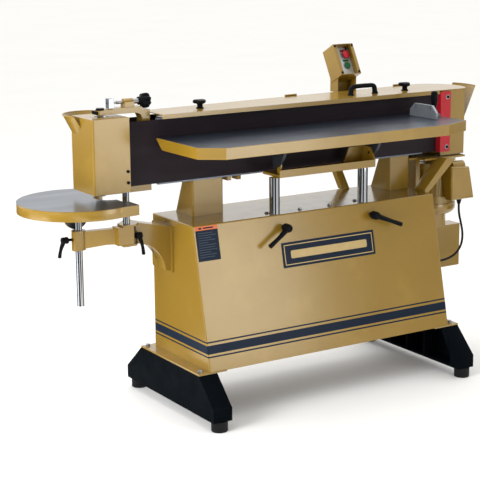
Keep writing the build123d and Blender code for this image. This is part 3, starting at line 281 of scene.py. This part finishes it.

# nodes with two finishes: ground table tops, the mitre head behind its face, and the cabinet's top sheet,
# which takes a darker copy of the ochre paint as painted shade for the dark reflection of the belt above it
WORK_TOP_Z = 1.0106
END_TOP_Z = 0.8046
MITRE_FACE_X = 0.4972
CABINET_TOP_Z = 0.7035
made["work_table"] = finish_material("work_table_finish", OCHRE, IRON_TOP, "Z", WORK_TOP_Z)
made["end_table"] = finish_material("end_table_finish", OCHRE, IRON_TOP, "Z", END_TOP_Z)
made["miter_head"] = finish_material("miter_finish", ALLOY, DARK_IRON, "X", MITRE_FACE_X)
# above CABINET_TOP_Z the cabinet takes the darker ochre copy, painted shade for the belt's dark reflection
made["cabinet_shell"] = finish_material("cabinet_paint_and_painted_shade", OCHRE, OCHRE_TOP_PAINTED_SHADE, "Z", CABINET_TOP_Z)

slot_of = {part["node"]: part["material_slot"] for part in frame["record"]["subparts"]}
for node_name, node in nodes.items():
    key = node_name if node_name in made else slot_of[node_name]
    node.data.materials.clear()
    node.data.materials.append(made[key])


def soften(node_name, width, segments=2):
    """Small rounded edges on a CAD node, as a modifier."""
    node = nodes[node_name]
    weld = node.modifiers.new("weld", "WELD")
    weld.merge_threshold = 0.00002
    flat = node.modifiers.new("flat", "DECIMATE")
    flat.decimate_type = "DISSOLVE"
    flat.angle_limit = math.radians(0.6)
    edge = node.modifiers.new("edge", "BEVEL")
    edge.width = width * MM
    edge.segments = segments
    edge.limit_method = "ANGLE"
    edge.angle_limit = math.radians(40)


for node_name, width in (
        ("feet", 3.0), ("work_table", 1.5), ("end_table", 1.2), ("control_box", 0.7), ("support_bar", 0.8),
        ("idler_bracket", 1.2), ("main_beam", 1.5), ("end_bracket", 1.5), ("end_arm", 1.5),
        ("miter_head", 0.6), ("drive_platform", 0.8), ("diagonal_brace", 0.8), ("switch_post", 0.8),
        ("motor_bell", 1.0)):
    soften(node_name, width)
soften("junction_box", 6.0, 4)


# ---------------------------------------------------------------- building blocks
def basis(origin, z_dir, x_dir=None):
    """Matrix of a local frame in millimetres at origin, with its Z along z_dir."""
    z = Vector(z_dir).normalized()
    if x_dir is None:
        x_dir = (1, 0, 0) if abs(z.x) < 0.9 else (0, 1, 0)
    x = Vector(x_dir)
    x = (x - z * x.dot(z)).normalized()
    y = z.cross(x)
    turn = Matrix((x, y, z)).transposed().to_4x4()
    return Matrix.Translation(Vector(origin)) @ turn


def piece(name, points, faces, material, body, sharp=35.0):
    """Mesh piece from points in millimetres, riding on a body; edges above sharp degrees stay crisp."""
    mesh = bpy.data.meshes.new(name)
    mesh.from_pydata([Vector(p) * MM for p in points], [], faces)
    mesh.validate()
    mesh.shade_smooth()
    mesh.set_sharp_from_angle(angle=math.radians(sharp))
    mesh.materials.append(made[material])
    obj = bpy.data.objects.new(name, mesh)
    scene.collection.objects.link(obj)
    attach(obj, body)
    return obj


def ring_faces(count, rings):
    """Faces of a closed tube of rings, each of count points, with both ends capped."""
    faces = []
    for k in range(rings - 1):
        for i in range(count):
            j = (i + 1) % count
            a, b = k * count, (k + 1) * count
            faces.append((a + i, a + j, b + j, b + i))
    faces.append(tuple(reversed(range(count))))
    last = (rings - 1) * count
    faces.append(tuple(last + i for i in range(count)))
    return faces


def hexagon(angle):
    """Radius factor of a hexagon whose corners are at radius 1."""
    part = angle % (math.pi / 3) - math.pi / 6
    return math.cos(math.pi / 6) / math.cos(part)


def turned_mesh(origin, axis, profile, count=40):
    """Rings about an axis. Each profile row is radius, height and, if given, a radius factor by angle."""
    place = basis(origin, axis)
    points = []
    for radius, height, *shape in profile:
        for i in range(count):
            angle = 2 * math.pi * i / count
            r = radius * shape[0](angle) if shape else radius
            points.append(place @ Vector((r * math.cos(angle), r * math.sin(angle), height)))
    return points, ring_faces(count, len(profile))


def turned(name, origin, axis, profile, material, body, count=40, sharp=35.0):
    points, faces = turned_mesh(origin, axis, profile, count)
    return piece(name, points, faces, material, body, sharp)


def many(name, parts, material, body, sharp=35.0):
    """One piece out of several meshes given as (points, faces)."""
    points, faces = [], []
    for part_points, part_faces in parts:
        shift = len(points)
        points += part_points
        faces += [tuple(i + shift for i in face) for face in part_faces]
    return piece(name, points, faces, material, body, sharp)


def rounded(width, height, radius, steps=4):
    """Outline of a rounded rectangle about the origin."""
    outline = []
    for k, (sx, sy) in enumerate(((1, 1), (-1, 1), (-1, -1), (1, -1))):
        for i in range(steps + 1):
            angle = math.pi / 2 * (k + i / steps)
            outline.append((sx * (width / 2 - radius) + radius * math.cos(angle),
                            sy * (height / 2 - radius) + radius * math.sin(angle)))
    return outline


def plate_mesh(place, outline, thickness, edge=0.4):
    """Plate on the XY plane of place, with a small rounded upper edge."""
    width = max(abs(x) for x, _ in outline)
    height = max(abs(y) for _, y in outline)
    points = []
    for z, inset in ((0.0, 0.0), (thickness - edge, 0.0), (thickness, edge)):
        for x, y in outline:
            points.append(place @ Vector((x * (1 - inset / width), y * (1 - inset / height), z)))
    return points, ring_faces(len(outline), 3)


def swept_mesh(path, section, up=(0, 0, 1)):
    """Section outline carried along path; section(k) gives the outline at point k."""
    points = []
    count = len(section(0))
    for k, here in enumerate(path):
        before = Vector(path[max(k - 1, 0)])
        after = Vector(path[min(k + 1, len(path) - 1)])
        place = basis(here, after - before, up)
        points += [place @ Vector((x, y, 0)) for x, y in section(k)]
    return points, ring_faces(count, len(path))


def ellipse(half_width, half_height, count):
    turns = [2 * math.pi * i / count for i in range(count)]
    return [(half_width * math.cos(turn), half_height * math.sin(turn)) for turn in turns]


# ---------------------------------------------------------------- motor cable
cable_route = (
    (770, -14, 626), (770, -14, 588), (783, -15, 544), (796, -14, 495), (791, -14, 450), (765, -13, 415),
    (722, -11, 397), (670, -7, 392), (618, 0, 400), (572, 0, 400))
cable_curve = bpy.data.curves.new("motor_cable_line", "CURVE")
cable_curve.dimensions = "3D"
cable_curve.bevel_depth = 0.0045
cable_curve.bevel_resolution = 6
cable_curve.resolution_u = 16
cable_curve.use_fill_caps = True
spline = cable_curve.splines.new("NURBS")
spline.points.add(len(cable_route) - 1)
for point, place in zip(spline.points, cable_route):
    point.co = (*(Vector(place) * MM), 1.0)
spline.order_u = 3
spline.use_endpoint_u = True
cable_curve.materials.append(made["cable_rubber"])
cable = bpy.data.objects.new("motor_cable_flex", cable_curve)
scene.collection.objects.link(cable)
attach(cable, "machine_frame")
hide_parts("motor_cable")

# ribbed strain reliefs
relief_ribs = [(8.2 - 0.22 * k + (0.0 if k % 2 else 0.9), 1.2 * k) for k in range(9)]
gland_parts = []
for origin, axis in (((770, -14, 646), (0, 0, -1)), ((550.2, 0, 400), (1, 0, 0))):
    gland_parts.append(turned_mesh(origin, axis, [
        (9.2, 0.0), (10.0, 0.6), (10.0, 1.2), (11.0, 1.4, hexagon), (11.0, 7.4, hexagon), (10.0, 8.0),
        (9.6, 11.0), (8.8, 12.0)] + [(r, 12.0 + h) for r, h in relief_ribs] + [(5.2, 22.4)], 36))
glands = many("gland_nuts", gland_parts, "cable_rubber", "machine_frame", 30)
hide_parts("cable_glands")


# ---------------------------------------------------------------- cabinet front: stripes, badge, plate
CABINET_FOOT_Y = -222
CABINET_FOOT_Z = 193
CABINET_LEAN = 111
CABINET_HEIGHT = 511
FRONT_NORMAL = Vector((0, -CABINET_HEIGHT, CABINET_LEAN)).normalized()
FRONT_UP = Vector((0, CABINET_LEAN, CABINET_HEIGHT)).normalized()


def front_y(z):
    """Y of the leaning cabinet front at height z."""
    return CABINET_FOOT_Y + (z - CABINET_FOOT_Z) * CABINET_LEAN / CABINET_HEIGHT


def cabinet_band(name, low, high, material):
    """Painted band round the left side, the front and the right side of the cabinet."""
    lift = 0.25
    half_width, corner = 550, 4
    points = []
    for thickness in (0.0, lift):
        for z in (low, high):
            fy = front_y(z)
            centre = (-half_width + corner, fy + corner)
            line = [(-half_width - thickness, 176), (-half_width - thickness, fy + corner)]
            for i in range(1, 5):
                angle = math.pi + math.pi / 2 * i / 5
                reach = corner + thickness
                line.append((centre[0] + reach * math.cos(angle), centre[1] + reach * math.sin(angle)))
            line.append((centre[0], fy - thickness))
            mirrored = [(-x, y) for x, y in reversed(line)]
            points += [(x, y, z) for x, y in line + mirrored]
    count = len(points) // 4
    faces = []
    for i in range(count - 1):
        inner_low, inner_high, outer_low, outer_high = i, count + i, 2 * count + i, 3 * count + i
        faces.append((outer_low, outer_low + 1, outer_high + 1, outer_high))
        faces.append((inner_low, inner_high, inner_high + 1, inner_low + 1))
        faces.append((inner_high, outer_high, outer_high + 1, inner_high + 1))
        faces.append((inner_low, inner_low + 1, outer_low + 1, outer_low))
    faces.append((0, 2 * count, 3 * count, count))
    faces.append((count - 1, 2 * count - 1, 4 * count - 1, 3 * count - 1))
    return piece(name, points, faces, material, "machine_frame", 50)


cabinet_band("stripe_wide", 254.5, 284.5, "navy")
cabinet_band("stripe_upper", 293.0, 298.2, "navy")
cabinet_band("stripe_lower", 241.6, 246.8, "navy")


def front_plate(name, x_low, x_high, z_low, z_high, lift, thickness, corner, material):
    x, z = (x_low + x_high) / 2, (z_low + z_high) / 2
    origin = Vector((x, front_y(z), z)) + FRONT_NORMAL * lift
    place = basis(origin, FRONT_NORMAL, (1, 0, 0))
    outline = rounded(x_high - x_low, (z_high - z_low) / FRONT_UP.z, corner)
    points, faces = plate_mesh(place, outline, thickness, 0.15)
    return piece(name, points, faces, material, "machine_frame", 30)


def front_frame(name, x_low, x_high, z_low, z_high, width, lift, material):
    """Thin raised rectangle of lines on the cabinet front."""
    parts = []
    spans = (
        (x_low, x_high, z_high - width, z_high), (x_low, x_high, z_low, z_low + width),
        (x_low, x_low + width, z_low + width, z_high - width),
        (x_high - width, x_high, z_low + width, z_high - width))
    for x0, x1, z0, z1 in spans:
        x, z = (x0 + x1) / 2, (z0 + z1) / 2
        origin = Vector((x, front_y(z), z)) + FRONT_NORMAL * lift
        place = basis(origin, FRONT_NORMAL, (1, 0, 0))
        parts.append(plate_mesh(place, rounded(x1 - x0, (z1 - z0) / FRONT_UP.z, 0.3, 1), 0.3, 0.1))
    return many(name, parts, material, "machine_frame", 30)


front_plate("badge_plate", -187, 236, 510, 601, 0.0, 1.6, 2.0, "navy")
front_frame("badge_border", -178, 227, 518.5, 592.5, 3.2, 1.5, "gold_line")
front_plate("badge_bar", -150, 199, 541, 570, 1.5, 0.5, 6.0, "gold_line")
front_plate("data_plate", -541, -449, 578, 686, 0.0, 0.7, 2.0, "navy")
front_plate("data_plate_head", -541, -449, 686, 700, 0.0, 0.7, 1.0, "orange")


def front_lines(name, lines, lift, material):
    """Thin bars on the cabinet front, each given as left end, right end, Z of its middle and height."""
    parts = []
    for x0, x1, z, height in lines:
        origin = Vector(((x0 + x1) / 2, front_y(z), z)) + FRONT_NORMAL * lift
        place = basis(origin, FRONT_NORMAL, (1, 0, 0))
        parts.append(plate_mesh(place, rounded(x1 - x0, height, 0.4, 1), 0.15, 0.05))
    return many(name, parts, material, "machine_frame", 30)


row_lengths = (62, 74, 55, 70, 40, 72, 66, 74, 48, 70, 60)
plate_rows = [(-533, -533 + length, 676 - 8.4 * row, 2.6) for row, length in enumerate(row_lengths)]
front_lines("data_plate_text", plate_rows, 0.6, "label_line")
front_lines("data_plate_title", [(-527, -515, 693, 6.0), (-509, -466, 693, 5.0)], 0.6, "navy")


# ---------------------------------------------------------------- screws and bolts
def socket_screw(origin, axis, radius, height):
    """Cap screw with a rounded edge and a hexagon socket."""
    return turned_mesh(origin, axis, [
        (radius, 0.0), (radius, height - 0.8), (radius - 0.7, height), (radius * 0.62, height),
        (radius * 0.58, height, hexagon), (radius * 0.55, height * 0.4, hexagon), (0.4, height * 0.3)], 36)


def hex_bolt(origin, axis, radius, height):
    """Hexagon head with a chamfered top, on a washer."""
    washer = turned_mesh(origin, axis, [
        (radius * 1.3, 0.0), (radius * 1.3, 1.2), (radius * 1.22, 1.6)], 36)
    head = turned_mesh(origin, axis, [
        (radius, 1.6, hexagon), (radius, height - 1.0, hexagon), (radius * 0.86, height)], 36)
    return washer, head


bolt_parts = []
for side in (-1, 1):
    for y in (-196, 188):
        bolt_parts += hex_bolt((side * 578, y, 193), (0, 0, 1), 9.0, 8.0)
for x, y in ((-203, -62), (-61, -72), (77, -69), (209, -52)):
    bolt_parts += hex_bolt((x, y, 704), (0, 0, 1), 7.0, 6.0)
bolts = many("bolt_heads", bolt_parts, "steel", "machine_frame", 25)
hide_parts("hex_bolts")

screw_parts = []
for x, y, z, radius, height in (
        (-742, 1, 905, 5.5, 4.5), (-742, 1, 865, 5.5, 4.5),
        (703, -8, 1066, 6.0, 4.0), (703, -8, 864, 6.0, 4.0)):
    screw_parts.append(socket_screw((x, y, z), (0, -1, 0), radius, height))
for x in (-445, -150, 150, 445):
    for z in (242, 658):
        screw_parts.append(socket_screw((x, 181.5, z), (0, 1, 0), 6.0, 4.0))
screws = many("screw_heads", screw_parts, "black_plastic", "machine_frame", 25)
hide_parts("cap_screws")
ring_parts = [turned_mesh((703, -8, z), (0, -1, 0), [(9.5, 0.0), (9.5, 0.6), (8.8, 1.0), (6.2, 1.0)], 36)
              for z in (1066, 864)]
many("stop_washers", ring_parts, "alloy", "machine_frame", 25)


# ---------------------------------------------------------------- clamping levers, knobs and handle
def clamp_lever(name, node, hub, outward, arm, length, k=1.0):
    """Clamping lever with a ribbed hub, a release button and a tapered arm; k scales all but its length."""
    def ribs(angle):
        return 1.0 + 0.035 * math.cos(14 * angle)
    place = basis(hub, outward, arm)
    hub_rows = [
        (10.5, 0.0), (11.6, 1.0), (12.0, 3.0, ribs), (11.9, 9.0, ribs), (11.0, 11.0), (11.4, 12.0),
        (12.0, 16.0), (11.8, 21.0), (10.5, 24.0), (7.4, 25.4), (7.0, 24.6), (6.4, 24.6), (5.2, 25.6),
        (2.5, 26.0)]
    hub_mesh = turned_mesh(hub, outward, [(row[0] * k, row[1] * k, *row[2:]) for row in hub_rows], 56)
    path, radii = [], []
    for i in range(13):
        t = i / 12
        rise = 15.0 + 12.0 * (1 - (1 - t) ** 2)
        path.append(place @ Vector((2 + (length - 4) * t, 0, rise * k)))
        waist = min(t * 1.7, 1.0)
        swell = max(t - 0.55, 0) / 0.45
        radii.append(((9.0 - 3.4 * waist + 1.2 * swell) * k, (8.2 - 2.4 * waist + 1.0 * swell) * k))
    path.append(place @ Vector((length, 0, 27.0 * k)))
    radii.append((4.2 * k, 3.8 * k))
    arm_mesh = swept_mesh(path, lambda row: ellipse(*radii[row], 20), outward)
    stud = turned_mesh(hub, outward, [(5.0, -14.0), (5.0, 0.5)], 24)
    lever = many(name, (hub_mesh, arm_mesh, stud), "black_plastic", node, 40)
    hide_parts(node)


LEVER_Z = 660
for side_name, x, arm, length in (
        ("left", -172, (-0.85, 0, -0.53), 106), ("right", 233, (0.93, 0, -0.37), 122)):
    hub = (x, front_y(LEVER_Z) - 16, LEVER_Z)
    clamp_lever("clamp_" + side_name, "post_lever_" + side_name, hub, (0, -1, 0), arm, length, 1.3)
clamp_lever("end_clamp_left", "end_lever_left", (-943, 85, 668), (-1, 0, 0), (0, 0.24, -0.97), 66)
clamp_lever("end_clamp_right", "end_lever_right", (-711, 15, 668), (1, 0, 0), (0, -0.1, -0.99), 72)


def lobes(count, depth, phase=0.0):
    """Radius factor of a hand knob with count rounded lobes."""
    def factor(angle):
        wave = 0.5 + 0.5 * math.cos(count * (angle - phase))
        return 1.0 - depth * (1 - wave) ** 1.6
    return factor


IDLER_Y = 77.6
star = lobes(7, 0.24)
knob = turned("star_knob", (-656, IDLER_Y, 1140), (1, 0, 0), [
    (13.0, 0.0), (14.6, 1.0), (14.9, 10.0), (18.0, 13.0), (23.0, 14.6, star), (26.4, 17.0, star),
    (27.4, 22.0, star), (27.4, 34.0, star), (25.4, 40.0, star), (22.0, 43.0, star), (14.0, 44.0),
    (13.0, 42.8), (6.0, 42.4)], "black_plastic", "tracking_knob", 112, 50)
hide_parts("tracking_knob")

tri = lobes(3, 0.30, 0.4)
for side_name, x in (("left", -400), ("right", 551)):
    knob = turned("lid_knob_" + side_name, (x, 78, 1078), (0, 0, 1), [
        (5.0, 0.0), (5.0, 16.4), (14.0, 16.6), (14.2, 19.0), (10.5, 21.0), (10.2, 30.0), (13.0, 33.0),
        (22.0, 34.6, tri), (26.0, 37.0, tri), (26.6, 41.0, tri), (25.4, 45.5, tri), (21.0, 47.6, tri),
        (11.0, 48.0), (10.4, 47.4), (4.0, 47.2)],
        "black_plastic", "cover_knob_" + side_name, 72, 50)
    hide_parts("cover_knob_" + side_name)


def bridge_handle():
    """Bridge handle on the top cover: squared arch with flared feet."""
    top, half, x, y = 1094.5, 59.0, 333.0, 66.0
    path = []
    for i in range(5):
        path.append((x - half - 0.5 + 2.5 * i / 4, y, top + 18.0 * i / 4))
    for i in range(1, 7):
        angle = math.pi / 2 * i / 6
        path.append((x - half + 18 - 15.5 * math.cos(angle), y, top + 20 + 13.5 * math.sin(angle)))
    path.append((x, y, top + 34))
    path += [(2 * x - px, py, pz) for px, py, pz in reversed(path[:-1])]
    last = len(path) - 1

    def section(k):
        end = min(k, last - k)
        flare = max(0.0, 1 - end / 2.0)
        return rounded(17.6 + 8.0 * flare, 17.0 + 4.0 * flare, 5.5)
    return swept_mesh(path, section, (0, 1, 0))


handle = many("lid_handle", [bridge_handle()], "black_plastic", "top_cover", 40)
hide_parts("cover_handle")

# waisted grip of the mitre gauge
grip = turned("gauge_grip", (543, -115, 1011), (0, 0, 1), [
    (12.0, 12.2), (13.4, 13.0), (13.6, 22.0), (12.0, 25.0), (9.4, 28.0), (8.8, 34.0), (10.6, 46.0),
    (12.6, 62.0), (13.6, 78.0), (13.4, 90.0), (11.4, 96.5), (7.0, 99.4), (2.0, 100.0)],
    "black_plastic", "miter_handle", 40)
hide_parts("miter_handle")

# ---------------------------------------------------------------- control box
LEAN = math.radians(28)
PANEL_NORMAL = Vector((0, -math.cos(LEAN), math.sin(LEAN)))
PANEL_UP = Vector((0, math.sin(LEAN), math.cos(LEAN)))
PANEL_ORIGIN = Vector((379, 233, 1218))
PANEL_OUT = -40
BUTTON_U = 20
STOP_V = 30
START_V = -14


def on_panel(u, v, out):
    """Point u across, v up and out in front of the box's rim plane; the panel itself lies at PANEL_OUT."""
    return PANEL_ORIGIN + Vector((1, 0, 0)) * u + PANEL_UP * v + PANEL_NORMAL * out


stop = turned("mushroom_button", on_panel(BUTTON_U, STOP_V, -24), PANEL_NORMAL, [
    (7.9, -28.0), (7.9, -4.5), (12.0, -4.2), (16.2, -3.4), (17.0, -1.6), (16.6, 0.6), (14.6, 2.8),
    (11.0, 4.2), (6.0, 4.9), (1.5, 5.0)], "red_button", "stop_button", 48)
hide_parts("stop_button")
start = turned("flush_button", on_panel(BUTTON_U, START_V, -24), PANEL_NORMAL, [
    (7.9, -28.0), (7.9, -11.0), (11.4, -11.0), (12.0, -10.4), (12.0, -8.0), (11.2, -7.2), (2.0, -7.0)],
    "green_button", "start_button", 48)
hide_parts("start_button")
collars = []
for v, radius in ((STOP_V, 14.5), (START_V, 15.5)):
    collars.append(turned_mesh(on_panel(BUTTON_U, v, PANEL_OUT), PANEL_NORMAL, [
        (radius, 0.0), (radius, 2.2), (radius - 1.2, 3.2), (radius - 2.4, 3.2), (radius - 2.8, 2.4),
        (9.0, 2.4)], 40))
many("button_collars", collars, "alloy", "machine_frame", 30)
panel_screws = [socket_screw(on_panel(u, v, PANEL_OUT), PANEL_NORMAL, 4.6, 2.6)
                for u, v in ((-38, 58), (38, 58), (-38, -58), (38, -58))]
many("panel_screws", panel_screws, "black_plastic", "machine_frame", 30)
box_screws = [socket_screw(on_panel(u, v, 0.0), PANEL_NORMAL, 5.0, 3.0)
              for u, v in ((41.5, 57), (41.5, -57), (-41.5, -57), (-41.5, 57))]
many("box_screws", box_screws, "black_plastic", "machine_frame", 30)
for name, v, material in (("legend_stop", 50, "red_paint"), ("legend_start", 8, "green_button")):
    place = basis(on_panel(BUTTON_U, v, PANEL_OUT), PANEL_NORMAL, (1, 0, 0))
    points, faces = plate_mesh(place, rounded(26, 8, 1.5), 0.5, 0.15)
    piece(name, points, faces, material, "machine_frame", 30)

# ---------------------------------------------------------------- scoops: rolled lips
for name, centre, z, radius, low, high in (
        ("scoop_lip_left", (-822, 140), 1099.0, 90.2, 51.0, 210.0),
        ("scoop_lip_right", (701.9, 93.5), 1095.0, 192.0, -16.8, 22.8)):
    arc = []
    for i in range(41):
        angle = math.radians(low + (high - low) * i / 40)
        arc.append((centre[0] + radius * math.cos(angle), centre[1] + radius * math.sin(angle), z))
    lip = swept_mesh(arc, lambda k: ellipse(2.4, 2.4, 12))
    many(name, [lip], "ochre_paint", "machine_frame", 50)

# nut on the idler shaft and end cap of the bracket arm
turned("shaft_nut", (-806, IDLER_Y, 1117.2), (0, 0, 1), [
    (17.0, 0.0), (17.0, 1.0), (16.5, 1.2, hexagon), (16.5, 6.4, hexagon), (14.0, 7.4), (3.0, 7.6)],
    "black_plastic", "idler_carriage", 36, 25)
cap_place = basis((-824.0, IDLER_Y, 1110.0), (-1, 0, 0), (0, 1, 0))
cap_points, cap_faces = plate_mesh(cap_place, rounded(42, 13, 4), 5.0, 1.2)
piece("arm_end_cap", cap_points, cap_faces, "black_plastic", "idler_carriage", 40)

# ---------------------------------------------------------------- tilt dial of the end table
dial_rows = [(44.6, 0.0), (44.6, 0.35)]
for radius in (41.0, 35.0, 29.0, 23.0, 17.0):
    dial_rows += [(radius, 0.35), (radius - 0.5, 0.12), (radius - 2.2, 0.12), (radius - 2.7, 0.35)]
dial_rows += [(6.6, 0.35)]
turned("tilt_dial", (-895, 110.5, 742), (0, -1, 0), dial_rows, "dark_iron", "end_tilt", 64, 20)

# ---------------------------------------------------------------- studio
FLOOR_REACH = 60.0
corners = [(x * FLOOR_REACH, y * FLOOR_REACH, 0) for x, y in ((-1, -1), (1, -1), (1, 1), (-1, 1))]
floor_mesh = bpy.data.meshes.new("floor")
floor_mesh.from_pydata(corners, [], [(0, 1, 2, 3)])
floor = bpy.data.objects.new("floor", floor_mesh)
scene.collection.objects.link(floor)
floor_mesh.materials.append(finish_material("floor_finish", FLOOR_WHITE))

# dark flags low down round the object: seen only in reflections, they draw the dark streaks in the posts
FLAG_FAR = 9.0
FLAG_Z = 0.003
for name, start, end, close in (
        ("flag_left", 184, 220, 1.8), ("flag_near", 238, 272, 1.8), ("flag_right", 325, 362, 1.8),
        ("flag_back", 96, 150, 1.0)):
    corners = []
    for distance in (close, FLAG_FAR):
        for i in range(7):
            angle = math.radians(start + (end - start) * i / 6)
            corners.append((distance * math.cos(angle), distance * math.sin(angle), FLAG_Z))
    flag_mesh = bpy.data.meshes.new(name)
    flag_mesh.from_pydata(corners, [], [(i, i + 1, i + 8, i + 7) for i in range(6)])
    flag = bpy.data.objects.new(name, flag_mesh)
    scene.collection.objects.link(flag)
    flag_mesh.materials.append(made["foot_rubber"])
    flag.visible_camera = False
    flag.visible_shadow = False
    flag.visible_diffuse = False

world = bpy.data.worlds.new("studio")
scene.world = world
world.use_nodes = True


def studio_light(tree):
    """Soft surround: bright above and behind the object, darker on the viewer's side."""
    background = tree.nodes["Background"]
    coords = tree.nodes.new("ShaderNodeTexCoord").outputs["Generated"]
    split = tree.nodes.new("ShaderNodeSeparateXYZ")
    tree.links.new(coords, split.inputs["Vector"])
    height = remap(tree, split.outputs["Z"], 0.0, 1.0, -0.05, 0.9)
    across = tree.nodes.new("ShaderNodeVectorMath")
    across.operation = "DOT_PRODUCT"
    across.inputs[1].default_value = (0.55, 0.83, 0.0)
    tree.links.new(coords, across.inputs[0])
    behind = remap(tree, across.outputs["Value"], 0.0, 1.0, -0.7, 0.8)
    level = tree.nodes.new("ShaderNodeMath")
    level.operation = "MULTIPLY_ADD"
    tree.links.new(height, level.inputs[0])
    level.inputs[1].default_value = 0.55
    glow = remap(tree, behind, 0.28, 1.05, 0.0, 1.0)
    tree.links.new(glow, level.inputs[2])
    tree.links.new(level.outputs["Value"], background.inputs["Strength"])
    background.inputs["Color"].default_value = (1.0, 0.995, 0.97, 1.0)


studio_light(world.node_tree)


def softbox(name, position, target, width, height, power, glossy=True):
    """Area light aimed at target; without glossy it brightens the paint but shows in no polished face."""
    data = bpy.data.lights.new(name, "AREA")
    data.shape = "RECTANGLE"
    data.size = width
    data.size_y = height
    data.energy = power
    light = bpy.data.objects.new(name, data)
    scene.collection.objects.link(light)
    light.visible_camera = False
    light.visible_glossy = glossy
    aim = (Vector(position) - Vector(target)).normalized()
    turn = aim.to_track_quat("Z", "Y").to_matrix().to_4x4()
    light.matrix_world = Matrix.Translation(position) @ turn


softbox("front_right", (0.95, -2.75, 0.85), (0.0, 0.0, 0.7), 1.15, 1.0, 13.5)
softbox("overhead", (-0.4, 0.2, 3.4), (0.0, 0.0, 0.5), 3.4, 2.6, 26)
softbox("left_fill", (-3.5, -0.7, 1.5), (-0.3, 0.0, 0.7), 1.6, 1.8, 112, False)

scene.view_settings.view_transform = "Standard"
